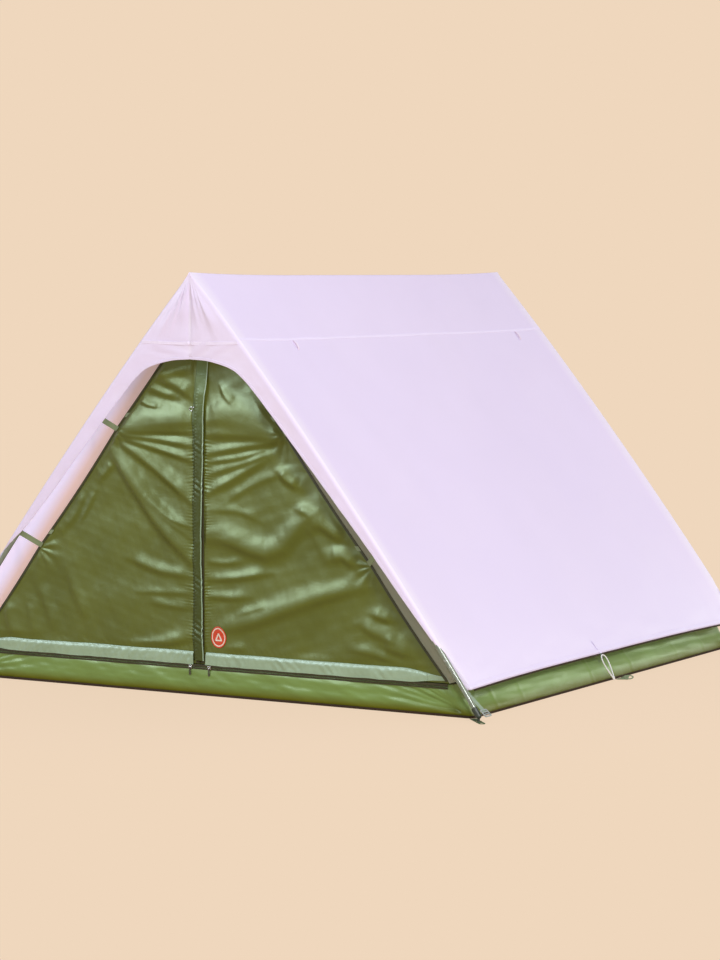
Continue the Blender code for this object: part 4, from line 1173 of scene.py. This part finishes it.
# the hem in the lighter flap cloth is a painted highlight: the flap's folded free edge catching the
# light
def storm_flap_hem(edge):
    return strip(edge + (-0.0016, -0.0006, 0), X_AXIS, TO_FRONT, width=0.0040, thick=0.0015)


def build_storm_flap():
    z = np.linspace(0.112, 0.928, 420)
    grid = storm_flap_grid(z)
    hinge = ("door_left", "storm_flap", (-0.0236, -0.9961, 0.5), (-0.0174, -0.9961, 0.5))
    cloth("storm_flap_cloth", grid, STORM, hinge, ("storm_flap",), thick=0.0008)
    edge = grid[z < 0.906, -1]
    solid("storm_flap_hem",
          [storm_flap_hem(edge), stitches(edge + (-0.0042, -0.0011, 0), TO_FRONT)],
          LIGHT, "storm_flap")
    stitching("storm_flap_stitching", [stitches(grid[:, 2] + (0, -0.0006, 0), TO_FRONT)],
              THREAD, "door_left")
    bend = door_bend("left", -1)
    cloth("storm_flap_top", storm_flap_grid(np.linspace(0.9275, 1.100, 110)), STORM, bend,
          thick=0.0008)
    edge = storm_flap_grid(np.linspace(0.9056, 1.100, 122))[:, -1]
    solid("storm_flap_top_hem", [storm_flap_hem(edge)], LIGHT, bend)


def bottom_flap_grid(side, x):
    """A flap over a level zip, from its sewn top edge down."""
    top_z = 0.1400
    x, share = np.meshgrid(x, np.linspace(0, 1, 12))
    tip = smooth(0.74, 0.884, np.abs(x))
    top = top_z + 0.0012 * waves(71, x, 0, size=0.2) - 0.018 * tip
    bottom = 0.0985 + 0.0010 * waves(72, x, 0, size=0.16) + 0.010 * tip
    z = top + (bottom - top) * share
    rise = smooth(0, 0.3, share)
    out = (front_height(side, x, top_z) + 0.0012 - 0.0008 * tip) * (1 - rise) + 0.0050 * rise
    phase = (2 * math.pi * (x + side * 0.9 * z) / 0.034
             + 2.5 * waves(74, x, z, size=0.25, octaves=1))
    pleats = np.sin(phase) * smooth(0.1, 0.7, waves(75, x, 0, size=0.20) + 0.3)
    out = out + smooth(0.05, 0.4, share) * (0.0008 * waves(73, x, z, size=0.05) + 0.0010 * pleats)
    sewn = smooth(0.826, 0.842, np.abs(x))
    out = out * (1 - sewn) + (front_height(side, x, z) + 0.0016) * sewn
    return xyz(x, -INNER_Y - out, z)


def bottom_flap_hem(grid):
    return strip(grid[-1] + (0, -0.0005, 0.0016), Z_AXIS, TO_FRONT, width=0.0036, thick=0.0013)


def build_bottom_flap(side_name, side):
    # the outer end is sewn down on the panel
    bend = door_bend(side_name, side)
    # the flaps are in the lighter flap cloth: painted light
    grid = bottom_flap_grid(side, np.linspace(0.8262, 0.884, 26) * side)
    cloth(f"bottom_flap_end_{side_name}", grid, LIGHT, bend, thick=0.0008,
          flip=side < 0)
    solid(f"bottom_flap_end_hem_{side_name}", [bottom_flap_hem(grid)], LIGHT, bend)
    start = 0.0255 if side < 0 else 0.0205
    grid = bottom_flap_grid(side, np.linspace(start, 0.8258, 318) * side)
    door, flap = f"door_{side_name}", f"bottom_flap_{side_name}"
    hinge = (door, flap, (side * 0.43, -0.9916, 0.1405), (side * 0.43, -0.9916, 0.1345))
    cloth(f"bottom_flap_cloth_{side_name}", grid, LIGHT, hinge, (flap,), thick=0.0008,
          flip=side < 0)
    solid(f"bottom_flap_hem_{side_name}", [bottom_flap_hem(grid)], LIGHT, flap)
    stitching(f"bottom_flap_stitching_{side_name}",
              [stitches(grid[1] + (0, -0.0005, 0.0006), TO_FRONT)], THREAD, door)


# ------------------------------------------------------------------ zips
def build_zips():
    """Woven tapes with coils of teeth: two halves of the upright zip, then the level one."""
    z = np.linspace(0.1040, 0.936, 90)
    for side_name, side in SIDES:
        tape = strip(xyz(side * 0.0092, -INNER_Y - 0.0016, z), X_AXIS, TO_FRONT,
                     width=0.0130, thick=0.0009)
        solid(f"zip_tape_cloth_{side_name}", [tape], ZIP, f"door_{side_name}",
              (f"zip_tape_{side_name}",))
        teeth = coil(xyz(side * 0.00145, -INNER_Y - 0.0013, z), X_AXIS, TO_FRONT)
        solid(f"zip_coil_{side_name}", [teeth], COIL, f"door_{side_name}", sharp=None)
    x = np.linspace(-0.896, 0.896, 200)
    tapes = [strip(xyz(x, -INNER_Y - 0.0036, tape_z), Z_AXIS, TO_FRONT, width, thick=0.0009)
             for tape_z, width in ((0.0960, 0.0070), (0.0862, 0.0048))]
    solid("zip_tape_cloth_low", tapes, ZIP, ROOT, ("bottom_zip_tape",))
    teeth = [coil(xyz(x, -INNER_Y - 0.0034, coil_z), Z_AXIS, TO_FRONT)
             for coil_z in (0.0892, 0.0918)]
    solid("zip_coil_low", teeth, COIL, ROOT, sharp=None)


# outline of a slider's plates (x, z) and of the post between them
SLIDER_PLATE = ((-0.0054, -0.0060), (-0.0036, -0.0066), (0.0036, -0.0066), (0.0054, -0.0060),
                (0.0042, 0.0), (0.0054, 0.0050), (0.0044, 0.0064), (0.0012, 0.0064),
                (0.0, 0.0050), (-0.0012, 0.0064), (-0.0044, 0.0064), (-0.0054, 0.0050),
                (-0.0042, 0.0))
SLIDER_POST = ((-0.0009, -0.0009), (0.0009, -0.0009), (0.0009, 0.0036), (-0.0009, 0.0036))


def extrude(bm, shape, low_y, high_y):
    low = [bm.verts.new((x, low_y, z)) for x, z in shape]
    high = [bm.verts.new((x, high_y, z)) for x, z in shape]
    bm.faces.new(low)
    bm.faces.new(list(reversed(high)))
    for i in range(len(shape)):
        j = (i + 1) % len(shape)
        bm.faces.new((low[i], high[i], high[j], low[j]))


def build_slider(name, x, z, turn):
    """Die-cast slider: two waisted plates on a post, with a raised bridge in front."""
    where = (Matrix.Translation((x, -INNER_Y - 0.0044, z))
             @ Matrix.Rotation(math.radians(turn), 4, "Y"))
    node = "zip_" + name
    bm = bmesh.new()
    extrude(bm, SLIDER_PLATE, -0.0017, -0.0008)
    extrude(bm, SLIDER_PLATE, 0.0006, 0.0015)
    extrude(bm, SLIDER_POST, -0.0009, 0.0007)
    bmesh.ops.recalc_face_normals(bm, faces=bm.faces)
    bm.transform(where)
    mesh = bpy.data.meshes.new(name)
    bm.to_mesh(mesh)
    bm.free()
    mesh.materials.append(STEEL)
    mesh.shade_smooth()
    mesh.set_sharp_from_angle(angle=math.radians(35))
    obj = bpy.data.objects.new(name, mesh)
    scene.collection.objects.link(obj)
    bevel = obj.modifiers.new("round", "BEVEL")
    bevel.width, bevel.segments = 0.0003, 2
    place(obj, node, (node,))
    u = np.linspace(0, math.pi, 14)
    bridge = xyz(0, -0.0015 - 0.0013 * np.sin(u), -0.0044 * np.cos(u))
    bridge = np.array([where @ Vector(point) for point in bridge])
    solid(name + "_bridge", [rod(bridge, 0.00075, 8)], STEEL, node)


def build_zip_fittings():
    door_z = 0.918
    build_slider("slider_door", -0.0063, door_z, turn=0)
    build_slider("slider_left", -0.036, 0.0905, turn=90)
    build_slider("slider_right", 0.036, 0.0905, turn=-90)
    radius = 0.0062
    angle = np.linspace(0, 2 * math.pi, 40, endpoint=False)
    ring = xyz(-0.0290 + radius * np.cos(angle), -INNER_Y - 0.0050,
               door_z - 0.0056 + radius * np.sin(angle))
    link = [[-0.0120, -INNER_Y - 0.0046, door_z], [-0.020, -INNER_Y - 0.0046, door_z],
            [-0.0296, -INNER_Y - 0.0048, 0.9176]]
    solid("ring_pull", [rod(ring, 0.0012, 10, closed=True), rod(link, 0.0009, 8)], STEEL,
          "zip_pull_door", ("zip_pull_door",), sharp=None)


# ------------------------------------------------------------------ inner tent's bindings, tabs
def leg_tab(side, end, z):
    """Webbing from the inner's edge round the leg and back, with its sewn pad."""
    radius, width = 0.0094, 0.0185
    leg = np.array([side * leg_x(z), end * LEG_Y, z])
    along = unit([side * (leg_x(z + 0.02) - leg_x(z - 0.02)), 0, 0.04])
    edge = np.array([side * (edge_x(z) - 0.004), end * (INNER_Y + 0.0022), z])
    reach = edge - leg
    reach = reach - along * reach.dot(along)
    span = np.linalg.norm(reach)
    inward = reach / span
    aside = np.cross(along, inward)

    def on_reach(share, offset):
        return leg + inward * (radius + (span - radius) * share) + aside * offset

    loop = [on_reach(1.0, 0.0009)]
    loop += [on_reach(q, 0.0011 + 0.0004 * math.sin(q * 6)) for q in (0.8, 0.6, 0.4, 0.2)]
    loop += [leg + inward * radius * math.cos(a) + aside * radius * math.sin(a)
             for a in np.radians(np.linspace(7, 353, 44))]
    loop += [on_reach(q, -0.0011) for q in (0.2, 0.4, 0.6, 0.8, 1.0)]
    pad = np.array([edge + unit(edge - leg) * q for q in (-0.004, 0.004, 0.011)])
    pad[:, 1] = end * (INNER_Y + 0.0030)
    return [strip(loop, along, np.cross(slope_of(loop), along), width, thick=0.0013),
            strip(pad, along, (0, end, 0), width, thick=0.0014)]


def build_edge_binding(end_name, end, side_name, side):
    where = f"{end_name}_{side_name}"
    z = np.linspace(0.108, 1.235, 160)
    path = xyz(side * (edge_x(z) - 0.0030), end * (INNER_Y + 0.0016), z)
    outward = np.array([side * 0.787, 0, 0.617])
    solid(f"edge_binding_{where}",
          [strip(path, outward, (0, end, 0), width=0.0092, thick=0.0022)],
          BIND, ROOT, (f"edge_tape_{where}",))
    tabs = [part for tab_z in TAB_Z for part in leg_tab(side, end, tab_z)]
    solid(f"pole_tabs_{where}", tabs, WEB_TAB, ROOT)
    sewn = path + np.array([0, end * 0.0011, 0]) - outward * 0.0022
    stitching(f"edge_stitching_{where}", [stitches(sewn, (0, end, 0))], THREAD, ROOT)


def build_ridge_tape():
    """Tape along the inner's ridge with three loops over the ridge pole."""
    y = np.linspace(-0.985, 0.985, 120)
    half = LOOP_PITCH / 2
    from_loop = np.abs(np.mod(y + half, LOOP_PITCH) - half)
    sag = 0.0015 * np.sin(math.pi * np.clip(from_loop / half, 0, 1))
    parts = [strip(xyz(0, y, 1.2505 - sag), X_AXIS, Z_AXIS, width=0.024, thick=0.0015)]
    low_z, high_z, radius = 1.2515, POLE_Z - 0.0093, 0.0092
    for loop_y in LOOP_Y:
        def on_leg(sign, q):
            return (sign * (0.0011 + 0.0004 * q), loop_y, low_z + (high_z - low_z) * q)

        loop = [(0.0009, loop_y, low_z)] + [on_leg(1, q) for q in (0.25, 0.5, 0.75)]
        loop += [(radius * math.cos(a), loop_y, POLE_Z + radius * math.sin(a))
                 for a in np.radians(np.linspace(-84, 264, 44))]
        loop += [on_leg(-1, q) for q in (0.75, 0.5, 0.25, 0.0)]
        parts.append(strip(loop, Y_AXIS, np.cross(slope_of(loop), Y_AXIS), width=0.020,
                           thick=0.0012))
    solid("ridge_tape_webbing", parts, WEB, ROOT, ("inner_ridge_tape",))


def build_leg(end_name, end, side_name, side):
    """Two bowed tubes, the lower one swaged at the joint."""
    for part in ("lower", "upper"):
        node = f"leg_{part}_{end_name}_{side_name}"
        low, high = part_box(node)
        steps = np.linspace(leg_step(low.z + 0.0035), leg_step(high.z - 0.0045), 90)
        x, z = leg_at(steps).T
        radius = 0.0080
        if part == "lower":
            radius = np.where(steps > 0.4985, 0.0084, radius)
        solid(f"tube_{part}_{end_name}_{side_name}",
              [rod(xyz(side * x, end * LEG_Y, z), radius, 18)], TUBE, ROOT, (node,),
              sharp=60)


# ------------------------------------------------------------------ ground fixings
def build_corner_strap(end_name, end, side_name, side):
    """Strap sewn to the fly's corner, led to a buckle above the foot."""
    top = np.array([side * 0.958, end * (HEM_Y - 0.006), 0.094])
    low = np.array([side * 1.040, end * (LEG_Y - 0.012), 0.030])
    q = np.linspace(0, 1, 14)
    path = top + (low - top) * q[:, None] + np.outer(np.sin(q * math.pi) * 0.004, (side, 0, -1))
    down = unit(low - top)
    across = unit(np.cross(down, (side, end * 0.25, 0.55)))
    normal = unit(np.cross(across, down))
    if normal[0] * side < 0:
        normal = -normal
    parts = [strip(path, across, normal, width=0.016, thick=0.0016),
             strip(path[:4] + normal * 0.0016, across, normal, width=0.016, thick=0.0014)]
    solid(f"fly_corner_strap_{end_name}_{side_name}", parts, WEB_LIGHT, "fly")

    # ladder-lock buckle: a frame with two cross bars
    centre, half_length, half_width = low + down * 0.004, 0.013, 0.0125

    def on_buckle(a, b):
        return centre + down * a * half_length + across * b * half_width

    corners = [on_buckle(a, b) for a, b in ((-1, -1), (-1, 1), (1, 1), (1, -1), (-1, -1))]
    parts = [rod(resample(corners, 49)[:-1], 0.0023, 8, closed=True)]
    for a in (-0.25, 0.35):
        bar = [on_buckle(a, b) + normal * 0.0012 for b in np.linspace(-1, 1, 6)]
        parts.append(rod(bar, 0.0019, 8))
    solid(f"fly_corner_buckle_{end_name}_{side_name}", parts, BUCKLE, "fly", sharp=60)


def build_side_loop(side_name, side):
    """Elastic loop at the middle of a hem, with the patch and tab that hold it."""
    top = np.array([side * 0.9570, SIDE_LOOP_Y, 0.0850])
    low = np.array([side * 1.0010, SIDE_LOOP_Y, 0.0070])
    down, span = unit(low - top), np.linalg.norm(low - top)
    angle = np.linspace(0, 2 * math.pi, 72, endpoint=False)
    along = span * (1 - np.cos(angle)) / 2
    half_width = 0.0270 * np.sin(angle) * (1.0 - 0.80 * along / span)
    loop = top + np.outer(along, down) + np.outer(half_width, Y_AXIS)
    knot = [low - down * 0.007 + Y_AXIS * q for q in (-0.005, 0, 0.005)]
    cord = f"side_cord_{side_name}"
    solid(f"elastic_loop_{side_name}", [rod(loop, 0.0022, 10, closed=True), rod(knot, 0.0036, 8)],
          CORD, cord, (cord,), sharp=None)

    heights = np.array([0.128, 0.087])
    upper, lower = roof_at(SIDE_LOOP_Y / LEG_Y, (SLOPE_TOP - heights) / (SLOPE_TOP - HEM_Z), side)
    out = unit(np.cross(Y_AXIS, lower - upper))
    out = out * np.sign(out[0]) * side
    patch = [upper + (lower - upper) * q + out * 0.0016 for q in np.linspace(0, 0.95, 8)]
    solid(f"hem_patch_{side_name}", [strip(patch, Y_AXIS, out, width=0.014, thick=0.0012)],
          FLY, "fly")
    tab = [lower - out * 0.0022 + (upper - lower) * q for q in np.linspace(0.6, 0, 4)]
    tab += [top + down * fall - out * inset
            for fall, inset in ((0.006, 0.001), (0.010, 0.001), (0.0115, 0.003))]
    normal = unit(np.cross(Y_AXIS, unit(slope_of(tab))))
    normal *= np.sign(normal[:, :1]) * side
    solid(f"hem_tab_{side_name}", [strip(tab, Y_AXIS, normal, width=0.014, thick=0.0014)],
          WEB, "fly")


def build_peg_tab(side_name, side):
    """Webbing sewn flat at the floor's seam, rolling on its edge towards an eye."""
    tab_y = 0.015
    u = np.linspace(0, 1, 14)[:10]
    roll = 0.64 * smooth(0.05, 0.55, u)
    base = xyz(side * (0.9880 + 0.060 * u), tab_y, 0.0014 + 0.0108 * np.sin(roll) + 0.0016 * u)
    across = xyz(0, np.cos(roll), np.sin(roll))
    normal = xyz(0, -np.sin(roll), np.cos(roll))
    eye_across, eye_normal = (0, 0.80, 0.60), (0, -0.60, 0.80)
    angle = np.linspace(0, 2 * math.pi, 40, endpoint=False)
    ahead, aside = np.outer(np.cos(angle), (side, 0, 0)), np.outer(np.sin(angle), eye_across)
    eye = np.array([side * 1.0300, tab_y, 0.0100]) + 0.0150 * ahead + 0.0080 * aside
    parts = [strip(base, across, normal, width=0.0215, thick=0.0016),
             strip(base[2:7] + normal[2:7] * 0.0015, across[2:7], normal[2:7], width=0.0205,
                   thick=0.0014),
             strip(eye, ahead + aside, eye_normal, width=0.0052, thick=0.0022, closed=True)]
    node = f"side_peg_tab_{side_name}"
    solid(f"peg_tab_webbing_{side_name}", parts, WEB_TAB, node, (node,))


# ------------------------------------------------------------------ oval patch on the right door
PATCH_X, PATCH_Z, PATCH_HALF_W, PATCH_HALF_H = 0.070, 0.191, 0.029, 0.0345


def on_right_door(x, z, lift):
    return xyz(x, -INNER_Y - front_height(1, x, z) - lift, z)


def patch_ring(name, inner, outer, lift, crown, material):
    """An oval ring between two shares of the patch's size, lifted towards its middle."""
    angle = np.linspace(0, 2 * math.pi, 72, endpoint=False)
    rows = []
    for k in range(7):
        q = inner + (outer - inner) * k / 6
        rows.append(on_right_door(PATCH_X + PATCH_HALF_W * q * np.cos(angle),
                                  PATCH_Z + PATCH_HALF_H * q * np.sin(angle),
                                  lift + (crown - lift) * math.sin(math.pi * k / 6)))
    obj = make(name, np.concatenate(rows), grid_faces(7, 72, wrap=True), material)
    thicken(face_outwards(obj), 0.0009)
    place(obj, "door_right")


def build_patch():
    patch_ring("patch_border", 0.88, 1.0, lift=0.0012, crown=0.0024, material=PATCH_RED)
    patch_ring("patch_line", 0.76, 0.89, lift=0.0013, crown=0.0017, material=PATCH_PALE)
    patch_ring("patch_field", 0.02, 0.77, lift=0.0013, crown=0.0015, material=PATCH_RED)
    triangle = ((-0.0110, -0.0105), (0.0110, -0.0105), (0.0, 0.0115), (-0.0110, -0.0105))
    x, z = resample(triangle, 60)[:-1].T
    path = on_right_door(PATCH_X + x, PATCH_Z + z, 0.0022)
    tangent = unit(np.roll(path, -1, 0) - np.roll(path, 1, 0))
    motif = strip(path, np.cross(tangent, Y_AXIS), TO_FRONT, width=0.0050, thick=0.0012,
                  closed=True)
    solid("patch_motif", [motif], PATCH_PALE, "door_right", sharp=None)


# ------------------------------------------------------------------ CAD pieces that stay in view
def finish_of(name):
    if name.startswith(("ridge_pole", "leg_")) and "cord" not in name:
        return TUBE
    if name.startswith(("apex_hub", "pole_foot")):
        return PLASTIC
    if name.startswith(("zip_pull_left", "zip_pull_right")):
        return DULL
    if name.startswith(("eyelet", "zip_")):
        return STEEL
    return CORD if "cord" in name else WEB


def finish_cad_pieces():
    for name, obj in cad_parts.items():
        if obj.hide_render:
            continue
        material, slots = finish_of(name), obj.data.materials
        if slots:
            for i in range(len(slots)):
                slots[i] = material
        else:
            slots.append(material)
        for slot in obj.material_slots:
            slot.material = material
        obj.data.shade_smooth()
        obj.data.set_sharp_from_angle(angle=math.radians(38))


# ------------------------------------------------------------------ studio
PAPER = (0.8632, 0.6795, 0.5089)        # pale and warm
REFLECTED = 0.42                        # strength of the backdrop as seen in reflections


def build_ground():
    """Paper that takes shadow near the tent and shines evenly farther out."""
    material = bpy.data.materials.new("studio_floor")
    shader = Shader(material)
    paper = shader.node("BsdfDiffuse", {0: tuple(c * 0.97 for c in PAPER)})
    reflected = shader.node("LightPath").outputs["Is Glossy Ray"]
    shine = shader.node("Emission", {0: PAPER,
                                     1: shader.map_range(reflected, target=(1.0, REFLECTED))})
    position = shader.node("NewGeometry").outputs["Position"]
    distance = shader.node("VectorMath", {0: position}, operation="LENGTH").outputs["Value"]
    evenness = shader.map_range(distance, source=(1.5, 2.6), target=(0.88, 1.0),
                                interpolation_type="SMOOTHSTEP")
    surface = shader.node("MixShader", {0: evenness, 1: paper, 2: shine})
    shader.node("OutputMaterial", {0: surface})
    x, y = np.meshgrid(np.linspace(-40, 40, 9), np.linspace(-40, 40, 9))
    make("studio_ground", xyz(x, y, -0.0006).reshape(-1, 3), grid_faces(9, 9), material)


def build_world():
    """Paper to the camera, cool light on the tent, dim paper in reflections."""
    world = bpy.data.worlds.new("studio")
    scene.world = world
    shader = Shader(world)
    seen = shader.node("Background", {0: PAPER, 1: 1.0})
    light = shader.node("Background", {0: (0.95, 0.955, 1.03), 1: 0.80})
    mirrored = shader.node("Background", {0: PAPER, 1: REFLECTED})
    ray = shader.node("LightPath").outputs
    direct = shader.node("MixShader", {0: ray["Is Camera Ray"], 1: light, 2: seen})
    every = shader.node("MixShader", {0: ray["Is Glossy Ray"], 1: direct, 2: mirrored})
    shader.node("OutputWorld", {0: every})


def turn_towards(obj, direction):
    """Turn the object so that its -Z looks against the direction."""
    obj.rotation_mode = "QUATERNION"
    obj.rotation_quaternion = direction.to_track_quat("Z", "Y")


def area_light(name, direction, distance, width, height, radiance, colour, diffuse=False):
    light = bpy.data.lights.new(name, "AREA")
    light.shape, light.size, light.size_y = "RECTANGLE", width, height
    light.energy = radiance * math.pi * width * height
    light.color = colour
    obj = bpy.data.objects.new(name, light)
    scene.collection.objects.link(obj)
    direction = Vector(direction).normalized()
    obj.location = Vector((0, 0, 0.5)) + direction * distance
    turn_towards(obj, direction)
    obj.visible_diffuse = obj.visible_transmission = diffuse
    obj.visible_camera = False


def build_lights():
    area_light("key_right", direction=(0.66, -0.585, 0.47), distance=8.0, width=1.1, height=1.1,
               radiance=52.0, colour=(1.0, 0.985, 1.07), diffuse=True)
    area_light("gloss_left", direction=(-0.50, -0.75, 0.46), distance=5.0, width=3.0, height=1.9,
               radiance=12.5, colour=(0.87, 1.0, 1.16))
    area_light("gloss_back", direction=(0.52, 0.83, 0.16), distance=6.0, width=3.0, height=1.6,
               radiance=4.5, colour=(0.85, 1.0, 0.9))
    area_light("gloss_right", direction=(0.75, -0.45, 0.60), distance=6.0, width=1.2, height=1.2,
               radiance=8.0, colour=(1.0, 1.0, 1.0))


def build_camera():
    data = bpy.data.cameras.new("camera")
    data.lens, data.sensor_width = 109.9, 36.0
    data.clip_end = 200
    camera = bpy.data.objects.new("camera", data)
    scene.collection.objects.link(camera)
    camera.location = (5.0949, -8.7374, 1.3466)
    look = Vector((0.0103, 0.0024, 0.6271)) - camera.location
    camera.rotation_mode = "QUATERNION"
    camera.rotation_quaternion = look.to_track_quat("-Z", "Y")
    scene.camera = camera
    scene.view_settings.view_transform = "Standard"
    scene.view_settings.look = "None"


# ------------------------------------------------------------------ build
def at_each_corner(build):
    for end_name, end in ENDS:
        for side_name, side in SIDES:
            build(end_name, end, side_name, side)


build_fly_sheet()
build_fly_trim()
build_guy_loops()
build_front_panels()
build_rear_panel()
build_side_walls()
build_floor_tub()
build_floor_bindings()
build_storm_flap()
for side_name, side in SIDES:
    build_bottom_flap(side_name, side)
build_zips()
build_zip_fittings()
at_each_corner(build_edge_binding)
build_ridge_tape()
at_each_corner(build_leg)
at_each_corner(build_corner_strap)
for side_name, side in SIDES:
    build_side_loop(side_name, side)
    build_peg_tab(side_name, side)
build_patch()
finish_cad_pieces()
build_ground()
build_world()
build_lights()
build_camera()
